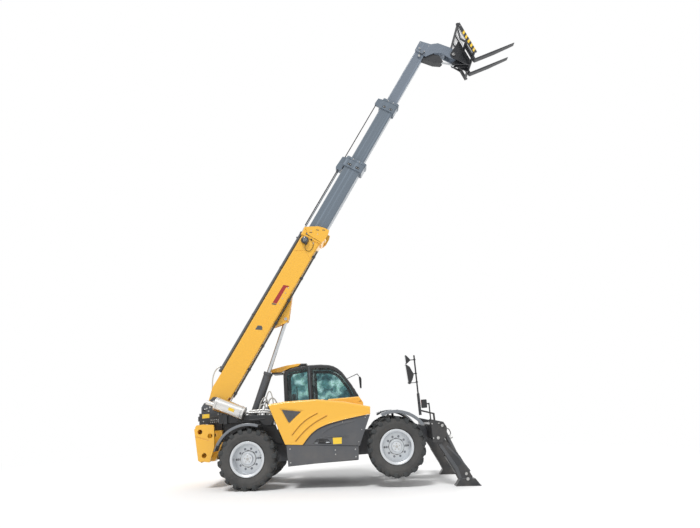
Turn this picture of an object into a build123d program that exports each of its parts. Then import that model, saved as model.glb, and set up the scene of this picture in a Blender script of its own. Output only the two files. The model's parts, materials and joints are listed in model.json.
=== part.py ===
from build123d import *
import math
import os

# Telehandler with a four-section boom, parked nose-up on its front stabilizers.
# Level machine frame in millimetres: x forward from the rear axle, y to the machine's left,
# z up, with both axles at axle_z. The last step pitches it onto its feet and its rear wheels.

# Wheels and chassis
wheelbase = 3005.0
axle_z = 595.0
tyre_radius = 595.0
tyre_width = 400.0
rim_radius = 335.0
lug_count = 18
lug_depth = 42.0
wheel_centre_y = 980.0
kingpin_y = 760.0
rail_inner = 205.0
rail_outer = 285.0
rear_end = -1010.0
weight_half = 760.0
nose_up_deg = 3.3

# Boom, along its own axis from the pivot
boom_deg = 57.4
boom_pivot = (-850.0, 1760.0)
collar_front = [4550.0, 6720.0, 8630.0]
section_tail = [260.0, 1970.0, 4030.0, 5900.0]
section_width = [350.0, 290.0, 232.0, 180.0]
section_depth = [490.0, 420.0, 344.0, 280.0]
section_wall = 11.0
line_height = 325.0
lift_base = (-200.0, 1000.0)
lift_eye = (2380.0, -420.0)

# Boom head, fork carriage and forks
tilt_pivot = (10660.0, -830.0)
tilt_eye = (10480.0, -930.0)
tilt_barrel_pin = (10220.0, -30.0)
fork_heel = (10692.0, -1424.0)
fork_drop_deg = 37.7
fork_length = 1200.0
fork_spread = 300.0
fork_width = 130.0
carriage_half = 600.0

# Stabilizers, with x measured from the front axle
leg_pivot_ahead = 845.0
leg_eye_ahead = 1325.0
leg_top_ahead = 955.0
foot_ahead = 1345.0
leg_centre_y = 1000.0

# Cab on the left, hood on the right
cab_inner_y = 300.0
cab_outer_y = 1120.0
cab_wall = 50.0
hood_outer_y = -1100.0
hood_inner_y = -420.0
drawn_bay = 1620.0
bay_clearance = 1385.0
fit_gap = 6.0

nodes = {}
bay_rear = 620.0
bay_stretch = (wheelbase - bay_clearance) / drawn_bay
nose = wheelbase + 740.0


# Shape helpers
def block(x, y, z):
    """Box from three (low, high) ranges."""
    return Pos(sum(x) / 2, sum(y) / 2, sum(z) / 2) * Box(x[1] - x[0], y[1] - y[0], z[1] - z[0])


def side_face(points, y):
    return Face(Wire.make_polygon([Vector(px, y, pz) for px, pz in points], close=True))


def side_plate(points, y):
    """Plate cut to an (x, z) outline, from y[0] to y[1]."""
    return Solid.extrude(side_face(points, y[0]), Vector(0, y[1] - y[0], 0))


def soft_plate(points, y, radius):
    """Plate cut to an (x, z) outline whose corners are all rounded."""
    face = side_face(points, y[0])
    face = face.fillet_2d(radius, face.vertices())
    return Solid.extrude(face, Vector(0, y[1] - y[0], 0))


def bar(start, end, radius, bore=0.0):
    """Round bar or tube between two points."""
    path = Vector(*end) - Vector(*start)
    at = Plane(origin=start, z_dir=path)
    solid = Solid.make_cylinder(radius, path.length, at)
    if bore:
        solid = solid - Solid.make_cylinder(bore, path.length, at)
    return solid


def cross_bar(centre, y, radius, bore=0.0):
    """Round bar along y at an (x, z) place, from y[0] to y[1]."""
    return bar((centre[0], y[0], centre[1]), (centre[0], y[1], centre[1]), radius, bore)


def turned(profile, centre):
    """Ring turned about the y axis through centre from (radius, y) points."""
    outline = Wire.make_polygon([Vector(r, y, 0) for r, y in profile], close=True)
    return Pos(*centre) * Solid.revolve(Face(outline), 360, Axis.Y)


def polar(centre, radius, degrees):
    a = math.radians(degrees)
    return centre[0] + radius * math.cos(a), centre[1] + radius * math.sin(a)


def arc_points(centre, radius, first, last, steps):
    return [polar(centre, radius, first + (last - first) * i / steps) for i in range(steps + 1)]


def pair(inner, outer):
    """The y ranges of a piece and of its mirror image."""
    return (inner, outer), (-outer, -inner)


def mirrored(shape):
    """The same piece on the other side of the machine."""
    return mirror(shape, about=Plane.XZ)


def group(*pieces):
    """Several solids that share one node."""
    solids = []
    for piece in pieces:
        solids += list(piece.solids())
    return Compound(children=solids)


def in_bay(points):
    """An outline between the wheels, stretched with the space that the wheelbase leaves."""
    return [(bay_rear + (px - bay_rear) * bay_stretch, pz) for px, pz in points]


def bay_x(x):
    return bay_rear + (x - bay_rear) * bay_stretch


def raised_band(path, width, height, surface_y, outward):
    """Pressed ridge along an (x, z) path: it rises from its upper edge to a step at its lower edge."""
    sections = []
    for i, (px, pz) in enumerate(path):
        ax, az = path[max(i - 1, 0)]
        bx, bz = path[min(i + 1, len(path) - 1)]
        length = math.hypot(bx - ax, bz - az)
        nx, nz = -(bz - az) / length, (bx - ax) / length
        share = min(1.0, 0.25 + 1.5 * min(i, len(path) - 1 - i))
        inside = surface_y - outward * 3
        sections.append(Wire.make_polygon([
            Vector(px, inside, pz),
            Vector(px, surface_y + outward * height * share, pz),
            Vector(px + nx * width * share, inside, pz + nz * width * share)], close=True))
    return Solid.make_loft(sections, ruled=True)


# The boom is drawn along its own axis: s from the pivot, h above the centre line
pivot_height = boom_pivot[1]
boom_place = Pos(boom_pivot[0], 0, pivot_height) * Rot(0, -boom_deg, 0)


def boom_point(point):
    s, h = point
    a = math.radians(boom_deg)
    return (boom_pivot[0] + s * math.cos(a) - h * math.sin(a),
            pivot_height + s * math.sin(a) + h * math.cos(a))


def box_section(index, first, last):
    """Hollow rounded box section of the boom between two stations."""
    w, d = section_width[index], section_depth[index]
    outer = block((first, last), (-w / 2, w / 2), (-d / 2, d / 2))
    outer = fillet(outer.edges().filter_by(Axis.X), 28)
    inner = block((first - 5, last + 5), (-w / 2 + section_wall, w / 2 - section_wall),
                  (-d / 2 + section_wall, d / 2 - section_wall))
    inner = fillet(inner.edges().filter_by(Axis.X), 18)
    return outer - inner


def collar(index, front, length, side, rise):
    """Reinforced frame round a section's mouth, with a lip at its front and pad pockets in its sides."""
    w, d = section_width[index], section_depth[index]
    rear = front - length
    outer = block((rear, front), (-w / 2 - side, w / 2 + side), (-rise, rise))
    outer += block((front - 60, front), (-w / 2 - side - 8, w / 2 + side + 8), (-rise - 12, rise + 8))
    outer = chamfer(outer.edges().filter_by(Axis.X), 30)
    hole = block((rear - 1, front + 1), (-w / 2 + section_wall, w / 2 - section_wall),
                 (-d / 2 + section_wall, d / 2 - section_wall))
    outer -= fillet(hole.edges().filter_by(Axis.X), 18)
    for y in pair(w / 2 + side - 8, w / 2 + side + 1):
        for low in (-rise * 0.62, rise * 0.22):
            outer -= block((rear + 45, rear + 105), y, (low, low + rise * 0.4))
    return outer


# Boom base section with its pivot tube, collar, doubler plates and lift bracket
base = box_section(0, section_tail[0], collar_front[0]) + collar(0, collar_front[0], 210, 30, 280)
tail_plates = [(-150, -120), (-60, -165), (section_tail[0] + 500, -245), (section_tail[0] + 500, 235),
               (section_tail[0], 245), (-80, 150)]
half_width = section_width[0] / 2
half_depth = section_depth[0] / 2
doubler = [(lift_eye[0] - 560, -half_depth + 25), (lift_eye[0] - 470, -70), (lift_eye[0] + 640, -70),
           (lift_eye[0] + 760, -half_depth + 25)]
mouth_doubler = [(collar_front[0] - 640, half_depth - 30), (collar_front[0] - 520, -20),
                 (collar_front[0] - 640, -half_depth + 30), (collar_front[0] - 200, -half_depth + 30),
                 (collar_front[0] - 200, half_depth - 30)]
for y in pair(half_width - 30, half_width):
    base += side_plate(tail_plates, y)
for y in pair(half_width - 2, half_width + 8):
    base += side_plate(doubler, y) + side_plate(mouth_doubler, y)
base += cross_bar((0, 0), (-half_width, half_width), 95)
base += block((section_tail[0] - 10, section_tail[0] + 8), (-half_width + 5, half_width - 5), (-225, 225))
bracket = [(lift_eye[0] - 330, -half_depth + 5), (lift_eye[0] - 90, lift_eye[1] - 40),
           (lift_eye[0] - 20, lift_eye[1] - 72), (lift_eye[0] + 60, lift_eye[1] - 50),
           (lift_eye[0] + 620, -half_depth + 5)]
for y in pair(58, 88):
    base += side_plate(bracket, y)
for y in pair(86, 104):
    base += cross_bar(lift_eye, y, 48)
nodes["boom_base"] = boom_place * base

# Extension cylinder on top of the base section, and the pipe tray below it
extension = bar((620, 30, line_height), (4450, 30, line_height), 40, 26)
for s in (700, 2500, 4250):
    extension += block((s, s + 40), (0, 60), (half_depth, line_height - 30))
nodes["extension_barrel"] = boom_place * extension
tray_y = (-half_width - 1, -half_width + 53)
tray = block((300, 4160), tray_y, (-356, -300))
tray -= block((290, 4170), (tray_y[0] + 8, tray_y[1] - 8), (-348, -290))
for s in range(420, 4160, 620):
    tray += block((s, s + 40), tray_y, (-310, -half_depth))
nodes["pipe_tray"] = boom_place * tray

# Second section: the extension rod is anchored in the ear on its collar
rod_y, hose_y = 30.0, -70.0
second = box_section(1, section_tail[1], collar_front[1]) + collar(1, collar_front[1], 270, 28, 262)
ear_side = [(collar_front[1] - 430, 250), (collar_front[1] - 430, 380), (collar_front[1] - 380, 400),
            (collar_front[1] - 60, 380), (collar_front[1] - 20, 250)]
second += side_plate(ear_side, (-100, 70))
second -= bar((collar_front[1] - 520, hose_y, line_height), (collar_front[1] + 80, hose_y, line_height), 19)
second -= bar((collar_front[1] - 520, rod_y, line_height), (collar_front[1] - 270, rod_y, line_height), 22)
nodes["boom_section_2"] = boom_place * second
nodes["extension_rod"] = boom_place * bar((2150, rod_y, line_height), (collar_front[1] - 270, rod_y, line_height), 22)

# Third section with the hose tube that runs back over the second
third = box_section(2, section_tail[2], collar_front[2]) + collar(2, collar_front[2], 300, 24, 215)
third += side_plate([(collar_front[2] - 260, 200), (collar_front[2] - 260, 350), (collar_front[2] - 220, 362),
                     (collar_front[2] - 60, 350), (collar_front[2] - 30, 200)], (-100, -30))
nodes["boom_section_3"] = boom_place * third
nodes["hose_tube"] = boom_place * bar((4620, hose_y, line_height), (collar_front[2] - 260, hose_y, line_height), 12)

# Fourth section and gooseneck head
fourth = box_section(3, section_tail[3], 10560)
head = [(10330, 155), (10655, 160), (10700, -145), (10820, -300), (10850, -665), (10790, -860),
        (tilt_pivot[0] + 60, tilt_pivot[1] - 90), (tilt_pivot[0] - 30, tilt_pivot[1] - 100),
        (tilt_pivot[0] - 95, tilt_pivot[1] - 20), (10575, -500), (10490, -335), (10290, -185)]
head_spine = [(10640, 150), (10655, 160), (10700, -145), (10820, -300), (10845, -560), (10825, -560),
              (10800, -306), (10680, -150)]
for y in pair(88, 115):
    fourth += soft_plate(head, y, 14)
fourth += side_plate(head_spine, (-90, 90))
fourth += side_plate([(10500, -345), (10575, -500), (10600, -620), (10582, -625), (10558, -508), (10484, -355)],
                     (-90, 90))
for y in pair(113, 121):
    fourth += cross_bar(tilt_pivot, y, 62) + cross_bar((10430, 60), y, 34)
fourth -= block((10140, 10640), (-79, 79), (-150, 100))
fourth += block((10120, 10150), (-85, 85), (-135, 135))
for y in pair(79, 121):
    fourth += cross_bar(tilt_barrel_pin, y, 45)
nodes["boom_section_4"] = boom_place * fourth


# Hydraulic cylinders
def cylinder_pair(base_pin, eye_pin, y, neck, reach, barrel_r, rod_r, eye_r, eye_half, rod_tail, bore_from):
    """Barrel and rod between two (x, z) pins: the barrel reaches out to its gland."""
    dx, dz = eye_pin[0] - base_pin[0], eye_pin[1] - base_pin[1]
    full = math.hypot(dx, dz)
    ux, uz = dx / full, dz / full

    def at(distance):
        return (base_pin[0] + ux * distance, y, base_pin[1] + uz * distance)

    barrel = bar(at(neck), at(reach), barrel_r) + bar(at(eye_r * 0.6), at(neck + 10), eye_half - 8)
    barrel += bar(at(reach - 60), at(reach), barrel_r * 1.12)
    barrel += cross_bar(base_pin, (y - eye_half, y + eye_half), eye_r)
    barrel -= bar(at(bore_from), at(reach + 1), rod_r + 1.5)
    rod = bar(at(rod_tail), at(full), rod_r) + cross_bar(eye_pin, (y - eye_half, y + eye_half), eye_r)
    return barrel, rod


tilt_barrel, tilt_rod = cylinder_pair(tilt_barrel_pin, tilt_eye, 0, 60, 560, 46, 24, 40, 36, 360, 165)
nodes["tilt_barrel"] = boom_place * tilt_barrel
nodes["tilt_rod"] = boom_place * tilt_rod
lift_barrel, lift_rod = cylinder_pair(lift_base, boom_point(lift_eye), 0, 150, 1450, 95, 46, 60, 48, 1180, 180)
nodes["lift_barrel"] = lift_barrel
nodes["lift_rod"] = lift_rod

# Fork carriage in its own frame: u along the forks, v up the shanks
carriage_place = boom_place * Pos(fork_heel[0], 0, fork_heel[1]) * Rot(0, fork_drop_deg, 0)


def in_carriage(point):
    """An (s, h) point of the boom in the carriage's (u, v) frame."""
    a = math.radians(fork_drop_deg)
    ds, dh = point[0] - fork_heel[0], point[1] - fork_heel[1]
    return ds * math.cos(a) - dh * math.sin(a), ds * math.sin(a) + dh * math.cos(a)


pivot_uv = in_carriage(tilt_pivot)
eye_uv = in_carriage(tilt_eye)
back = -95.0
guard_top = 1010.0
carriage = block((back, back + 30), (-560, 560), (20, 90)) + block((back, back + 30), (-560, 560), (430, 500))
for y in (-560, -330, 300, 530):
    carriage += block((back - 5, back + 30), (y, y + 30), (20, 500))
for y in (-180, 150):
    carriage += block((back, back + 30), (y, y + 30), (20, guard_top))
carriage += block((back, back + 30), (-carriage_half, carriage_half), (guard_top - 60, guard_top))
carriage += block((back, back + 30), (-carriage_half, carriage_half), (20, 80))
brace = [(back, 300), (back, 380), (back - 115, 560), (back, guard_top - 30), (back, guard_top),
         (back - 30, guard_top), (back - 150, 570), (back - 150, 540)]
for y in pair(carriage_half - 30, carriage_half):
    carriage += block((back - 10, back + 75), y, (20, guard_top - 10))
    carriage += side_plate(brace, y)
shield = [(back, 0), (back, 760), (pivot_uv[0] + 30, pivot_uv[1] + 130), (pivot_uv[0] - 70, pivot_uv[1] + 60),
          (pivot_uv[0] - 70, pivot_uv[1] - 60), (pivot_uv[0] + 60, pivot_uv[1] - 230), (back - 60, 0)]
lever = [(back, 60), (back, 330), (pivot_uv[0] + 190, pivot_uv[1] - 80), (eye_uv[0] + 30, eye_uv[1] + 45),
         (eye_uv[0] - 45, eye_uv[1] + 30), (eye_uv[0] - 45, eye_uv[1] - 40), (eye_uv[0] + 60, eye_uv[1] - 60)]
for y in pair(128, 152):
    carriage += side_plate(shield, y)
for y in pair(152, 165):
    carriage += cross_bar(pivot_uv, y, 55)
for y in pair(44, 64):
    carriage += side_plate(lever, y)
for y in pair(64, 78):
    carriage += cross_bar(eye_uv, y, 34)
carriage += block((back - 20, back + 5), (-155, 155), (40, 480))
nodes["fork_carriage"] = carriage_place * carriage

fork_side = [(-60, 540), (-60, -20), (-40, -45), (fork_length * 0.45, -45), (fork_length - 60, -12),
             (fork_length - 60, 0), (-18, 0), (-18, 540)]
forks = []
for y in (-fork_spread, fork_spread):
    fork = side_plate(fork_side, (y - fork_width / 2, y + fork_width / 2))
    tip = fork.edges().filter_by(Axis.Z).sort_by(Axis.X)[-2:]
    fork = chamfer(tip, 5)
    fork += block((back + 30, -55), (y - fork_width / 2, y + fork_width / 2), (435, 495))
    forks.append(fork)
nodes["forks"] = carriage_place * group(*forks)

# Chassis: two rails arched over the axles, floor, cross plates and boom tower
arch = tyre_radius + 105
floor_z = axle_z + 190
rail_side = [(rear_end, axle_z + 5), (rear_end, 1300), (-560, 1300), (-420, 1000), (wheelbase - 305, 930),
             (wheelbase + 595, 960), (nose, 900), (nose, 620), (wheelbase + 495, 560), (wheelbase + 295, arch),
             (wheelbase - 305, arch), (wheelbase - 505, 440), (500, 440), (300, arch), (-300, arch), (-480, 560)]
inner = rail_inner + 5
frame = block((500, wheelbase - 505), (-inner, inner), (440, 465))
frame += block((-430, 300), (-inner, inner), (floor_z, floor_z + 25))
frame += block((wheelbase - 305, nose), (-inner, inner), (floor_z, floor_z + 25))
tower = [(rear_end, 620), (rear_end, 1325), (rear_end - 140, 1325), (rear_end - 140, pivot_height - 70),
         (rear_end - 80, pivot_height + 20), (boom_pivot[0] - 150, pivot_height + 40),
         (boom_pivot[0] - 30, pivot_height + 140), (boom_pivot[0] + 90, pivot_height + 120),
         (boom_pivot[0] + 160, pivot_height + 20), (-640, 1300), (-480, 1300), (-480, 620)]
lug_plate = [(lift_base[0] - 150, floor_z + 20), (lift_base[0] - 100, lift_base[1] + 20),
             (lift_base[0] - 50, lift_base[1] + 75), (lift_base[0] + 50, lift_base[1] + 75),
             (lift_base[0] + 90, lift_base[1] + 20), (lift_base[0] + 150, floor_z + 20)]
for y in pair(rail_inner, rail_outer):
    frame += side_plate(rail_side, y)
    for x in (0.0, wheelbase):
        frame += block((x - 90, x + 90), y, (axle_z + 80, max(arch, axle_z + 80) + 5))
for y in pair(195, 235):
    frame += side_plate(tower, y)
for y in pair(235, 262):
    frame += cross_bar(boom_pivot, y, 85)
for y in pair(56, 92):
    frame += side_plate(lug_plate, y)
for y in pair(92, 108):
    frame += cross_bar(lift_base, y, 52)
for x, z0 in ((rear_end, axle_z + 5), (500, 445), (wheelbase - 530, 445), (nose - 25, 620)):
    frame += block((x, x + 25), (-inner, inner), (z0, 860))
frame += block((rear_end, rear_end + 25), (-235, 235), (850, 1325))
frame += block((rear_end - 140, rear_end - 115), (-235, 235), (1325, pivot_height - 110))
frame += block((rear_end - 140, rear_end + 25), (-235, 235), (1325, 1345))
frame -= cross_bar((rear_end - 70, pivot_height - 130), (-240, 240), 32)
nodes["frame"] = frame

# Counterweight: rear slab with two wings and a centre block
wing = [(rear_end - 130, 1290), (rear_end - 100, 1325), (rear_end + 35, 1330), (-755, 1305), (-745, 1250),
        (-745, 860), (-841, 568), (rear_end, 600), (rear_end - 40, 660)]
centre_side = [(rear_end, 1180), (-640, 1180), (-640, 900), (-800, 568), (rear_end, 568)]
weight = side_plate([(rear_end - 150, 1250), (rear_end, 1316), (rear_end, 575), (rear_end - 70, 620)],
                    (-weight_half, weight_half))
for y in pair(weight_half - 60, weight_half):
    weight += soft_plate(wing, y, 16)
for y in pair(rail_outer, 470):
    weight += side_plate(centre_side, y)
for place in ((rear_end - 30, 1185), (rear_end + 180, 1090), (rear_end + 55, 712)):
    weight -= cross_bar(place, (-weight_half - 1, weight_half + 1), 50)
groove = [(rear_end - 130, 1112), (rear_end + 150, 1012), (rear_end + 160, 990), (rear_end - 130, 1092)]
for y in pair(weight_half - 8, weight_half + 1):
    weight -= side_plate(groove, y)
nodes["counterweight"] = weight

# Axles with yokes round the king pins
for end, x in (("rear", 0.0), ("front", wheelbase)):
    axle = block((x - 75, x + 75), (-640, 640), (axle_z - 80, axle_z + 80))
    axle = chamfer(axle.edges().filter_by(Axis.Y), 25)
    axle += bar((x, 0, axle_z), (x + 200, 0, axle_z), 170) + bar((x - 120, 0, axle_z), (x, 0, axle_z), 150)
    axle += bar((x + 200, 0, axle_z), (x + 290, 0, axle_z), 62)
    for y in pair(600, kingpin_y + 35):
        for level in (-175, 135):
            axle += block((x - 60, x + 60), y, (axle_z + level, axle_z + level + 40))
    for y in pair(600, 640):
        axle += block((x - 75, x + 75), y, (axle_z - 175, axle_z + 175))
    for y in (-kingpin_y, kingpin_y):
        axle -= bar((x, y, axle_z - 260), (x, y, axle_z + 260), 33)
    nodes[end + "_axle"] = axle


# Knuckle, rim, tyre and fender of one wheel, drawn for the left side
def knuckle_at(x, reach):
    pin = bar((x, kingpin_y, axle_z - 200), (x, kingpin_y, axle_z + 215), 30)
    pin += bar((x, kingpin_y, axle_z + 182), (x, kingpin_y, axle_z + 215), 62)
    body = bar((x, kingpin_y, axle_z - 128), (x, kingpin_y, axle_z + 128), 85)
    spindle = bar((x, kingpin_y, axle_z), (x, wheel_centre_y - 10, axle_z), 105)
    arm = block((x - 25, x + 25), (kingpin_y - 22, kingpin_y - 4), (axle_z + 185, axle_z + reach))
    return body + spindle + pin + arm


lip = rim_radius
seat = rim_radius - 27
well = rim_radius - 45
rim_profile = [(lip, -160), (lip, -148), (seat, -140), (well, -60), (well, 60), (seat, 150), (lip, 158), (lip, 170),
               (lip - 17, 170), (lip - 39, 158), (lip - 57, 62), (lip - 57, 0), (150, 20), (110, 20), (110, -8),
               (lip - 57, -30), (lip - 57, -60), (lip - 39, -150), (lip - 17, -160)]


def rim_at(x):
    centre = (x, wheel_centre_y, axle_z)
    rim = turned(rim_profile, centre)
    hub = turned([(0, 0), (150, 0), (150, 45), (110, 60), (95, 110), (0, 110)], centre)
    return rim + hub


# Tyre: a carcass with flat facets, and tread bars leaning away from the middle on both sides
half_tyre = tyre_width / 2
crown = tyre_radius - lug_depth
lug_root = tyre_radius - 90
carcass = [(rim_radius - 18, -half_tyre + 67), (rim_radius + 95, -half_tyre), (crown, -half_tyre + 45)]
carcass += [(radius, -y) for radius, y in reversed(carcass)]


def faceted_ring(profile, sides, phase):
    """Closed ring about the y axis with flat facets, through (radius, y) points in order."""
    turns = [math.radians(phase + 360 * i / sides) for i in range(sides)]
    corners = [[Vector(r * math.cos(a), y, r * math.sin(a)) for r, y in profile] for a in turns]
    faces = []
    for i in range(sides):
        here, there = corners[i], corners[(i + 1) % sides]
        for j in range(len(profile)):
            k = (j + 1) % len(profile)
            faces.append(Face(Wire.make_polygon([here[j], here[k], there[k], there[j]], close=True)))
    return Solid(Shell(faces))


def tread_bar(side):
    """One lug, drawn at the top of the wheel: x round the tyre, y across it, z outwards."""
    lean = math.tan(math.radians(24))
    start, shoulder = 8.0, half_tyre - 18
    ring = []
    for y_top, y_root in ((start, start), (shoulder, half_tyre)):
        for y, half, radius in ((y_top, -36, tyre_radius), (y_top, 36, tyre_radius),
                                (y_root, 46, lug_root), (y_root, -46, lug_root)):
            x = (y - half_tyre / 2) * lean + half
            ring.append(Vector(x, side * y, math.sqrt(radius ** 2 - x ** 2)))
    quads = [(0, 1, 2, 3), (4, 5, 6, 7), (0, 1, 5, 4), (1, 2, 6, 5), (2, 3, 7, 6), (3, 0, 4, 7)]
    faces = []
    for a, b, c, d in quads:
        for corners in ((a, b, c), (a, c, d)):
            faces.append(Face(Wire.make_polygon([ring[k] for k in corners], close=True)))
    return Solid(Shell(faces))


def make_tyre():
    contact = 270.0 - nose_up_deg
    pitch = 360.0 / lug_count
    ring = faceted_ring(carcass, lug_count, contact)
    bars = []
    for i in range(lug_count):
        for side, offset in ((1, 0.0), (-1, pitch / 2)):
            bars.append(Rot(0, 90 - (contact + offset + i * pitch), 0) * tread_bar(side))
    return ring.fuse(*bars)


tyre = make_tyre()


def tyre_at(x):
    return Pos(x, wheel_centre_y, axle_z) * tyre


def fender_at(x, gap, thick, first, last):
    """Curved guard over one wheel with a turned-down lip on its outer edge."""
    inner_r = tyre_radius + gap
    hub = (x, axle_z)
    outline = arc_points(hub, inner_r, first, last, 16) + arc_points(hub, inner_r + thick, last, first, 16)
    skin = side_plate(outline, (wheel_centre_y - 195, wheel_centre_y + 195))
    rim_line = arc_points(hub, inner_r - 16, first, last, 16) + arc_points(hub, inner_r + thick - 2, last, first, 16)
    skin += side_plate(rim_line, (wheel_centre_y + 183, wheel_centre_y + 195))
    skin += block((x - 30, x + 30), (kingpin_y - 22, wheel_centre_y - 190),
                  (axle_z + inner_r + 2, axle_z + inner_r + thick - 2))
    return skin


fender_shape = {"rear": (77, 12, 69, 152), "front": (95, 24, 34, 112)}
for end, x in (("rear", 0.0), ("front", wheelbase)):
    for hand in ("left", "right"):
        flip = mirrored if hand == "right" else (lambda shape: shape)
        gap, thick, first, last = fender_shape[end]
        name = f"{end}_{hand}"
        nodes["knuckle_" + name] = flip(knuckle_at(x, tyre_radius + gap + 2))
        nodes["rim_" + name] = flip(rim_at(x))
        nodes["tyre_" + name] = flip(tyre_at(x))
        nodes["fender_" + name] = flip(fender_at(x, gap, thick, first, last))

# Stabilizer frame across the nose
leg_pivot = (wheelbase + leg_pivot_ahead, 700.0)
leg_eye = (wheelbase + leg_eye_ahead, -20.0)
leg_cylinder_top = (wheelbase + leg_top_ahead, 930.0)
cheek = [(nose, 620), (nose, 1070), (nose + 250, 1000), (nose + 305, 900), (nose + 305, 835),
         (nose + 265, 700), (nose + 175, 610)]
stab = block((nose, nose + 255), (-890, 890), (680, 960))
stab = chamfer(stab.edges().filter_by(Axis.Y), 30)
stab += block((nose, nose + 25), (-890, 890), (680, 960))
for y in pair(leg_centre_y - 130, leg_centre_y - 110):
    stab += side_plate(cheek, y)
for y in pair(leg_centre_y + 110, leg_centre_y + 130):
    stab += side_plate(cheek, y)
for y in pair(leg_centre_y - 130, leg_centre_y + 130):
    stab += block((nose, nose + 20), y, (640, 1010))
for y in pair(leg_centre_y + 130, leg_centre_y + 142):
    stab += cross_bar(leg_pivot, y, 45) + cross_bar(leg_cylinder_top, y, 40)
nodes["stabilizer_frame"] = stab


# One stabilizer leg with its cylinder and foot, drawn for the left side
def ground_z(x):
    """Height of the true ground under x, in the level frame."""
    a = math.radians(nose_up_deg)
    return axle_z - (tyre_radius + x * math.sin(a)) / math.cos(a)


foot_x = wheelbase + foot_ahead
ankle = ground_z(foot_x) + 102
px, pz = leg_pivot
leg_side = [(px - 60, pz), (px - 20, pz + 65), (px + 50, pz + 70), (px + 95, pz + 20), (px + 406, pz - 386),
            (px + 600, ankle + 70), (px + 590, ankle), (px + 340, ankle), (px + 270, ankle + 190)]
leg_in, leg_out = leg_centre_y - 95, leg_centre_y + 95
leg = side_plate(leg_side, (leg_in, leg_in + 20)) + side_plate(leg_side, (leg_out - 20, leg_out))
leg += side_plate([(px + 315, ankle + 90), (px + 340, ankle), (px + 590, ankle), (px + 590, ankle + 25),
                   (px + 355, ankle + 25), (px + 330, ankle + 105)], (leg_in, leg_out))
leg += side_plate([(px + 110, pz - 370), (px + 280, ankle + 150), (px + 300, ankle + 162), (px + 130, pz - 358)],
                  (leg_in, leg_out))
leg += cross_bar(leg_pivot, (leg_in, leg_out), 36)
for y0 in (leg_in - 12, leg_out - 2):
    leg += cross_bar(leg_eye, (y0, y0 + 14), 36)
foot = block((-250, 250), (leg_centre_y - 115, leg_centre_y + 115), (0, 16))
foot_side = [(-245, 10), (245, 10), (140, 138), (-150, 138)]
foot += side_plate(foot_side, (leg_in, leg_in + 16)) + side_plate(foot_side, (leg_out - 16, leg_out))
foot += side_plate([(-245, 12), (-225, 12), (-135, 138), (-155, 138)], (leg_in, leg_out))
foot += side_plate([(245, 12), (225, 12), (125, 138), (145, 138)], (leg_in, leg_out))
foot += side_plate([(-150, 122), (140, 122), (130, 138), (-140, 138)], (leg_in, leg_out))
leg = leg + Pos(foot_x, 0, ground_z(foot_x)) * Rot(0, nose_up_deg, 0) * foot
leg_barrel, leg_rod = cylinder_pair(leg_cylinder_top, leg_eye, leg_centre_y, 60, 640, 48, 27, 40, 46, 420, 100)
for hand, flip in (("left", lambda shape: shape), ("right", mirrored)):
    nodes["stabilizer_leg_" + hand] = flip(leg)
    nodes["stabilizer_barrel_" + hand] = flip(leg_barrel)
    nodes["stabilizer_rod_" + hand] = flip(leg_rod)

# Outlines of the engine bay and hood; the lower rear corners keep clear of the tyre
corner_x = tyre_radius + 195
hood_tail = (bay_rear - 175, 1625)
hood_top = in_bay([(800, 1655), (1437, 1650), (2000, 1560), (2539, 1420)])
edge_line = in_bay([(1114, 772), (1220, 905), (1370, 1030), (1551, 1114), (1850, 1180), (2180, 1228), (2524, 1262)])
front_low = bay_x(2264)
sill_y = (hood_outer_y - 6, hood_outer_y + 54)
panel = side_plate(edge_line + [(front_low, 672)], (hood_outer_y + 4, hood_outer_y + 38))
panel += side_plate([(corner_x, 800), (bay_x(2240), 664), (bay_x(2225), 426), (corner_x + 19, 389)], sill_y)
panel += block((corner_x + 25, bay_x(2220)), (hood_outer_y + 40, -rail_outer), (400, 430))
front_wall = in_bay([(2190, 430), (2210, 430), (2246, 672), (2336, 900), (2500, 1240), (2475, 1240),
                     (2312, 905), (2224, 680)])
panel += side_plate(front_wall, (hood_outer_y + 38, hood_inner_y - 10))
panel += block((corner_x + 10, corner_x + 40), (hood_outer_y + 38, hood_inner_y - 10), (430, 800))
bay_wall = [(corner_x + 10, 425), (640, 1000), (540, 1540)] + in_bay([(800, 1570), (1437, 1565), (2000, 1480),
                                                                     (2480, 1360), (2225, 425)])
wall_y = (hood_inner_y + 5, hood_inner_y + 20)
panel += side_plate(bay_wall, wall_y)
panel += raised_band(in_bay([(1494, 937), (1640, 1035), (1800, 1090), (2010, 1128), (2231, 1149)]), 60, 9,
                     hood_outer_y + 4, -1)
panel -= side_plate(in_bay([(1331, 790), (1412, 862), (1624, 846), (1695, 755)]),
                    (hood_outer_y + 3, hood_outer_y + 24))
hinge_y, hinge_z = hood_inner_y + 20, 1640.0
hinge_at = [bay_x(900), bay_x(1500)]
for x in hinge_at:
    panel += block((x + 62, x + 110), (wall_y[0] + 4, wall_y[1]), (1500, hinge_z))
    panel += bar((x + 62, hinge_y, hinge_z), (x + 110, hinge_y, hinge_z), 13)
    panel += bar((x, hinge_y, hinge_z), (x + 62, hinge_y, hinge_z), 6)
nodes["engine_bay"] = panel
nodes["engine"] = block((bay_x(950), bay_x(1900)), (hood_outer_y + 140, hood_inner_y - 100), (430, 1150))

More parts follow.
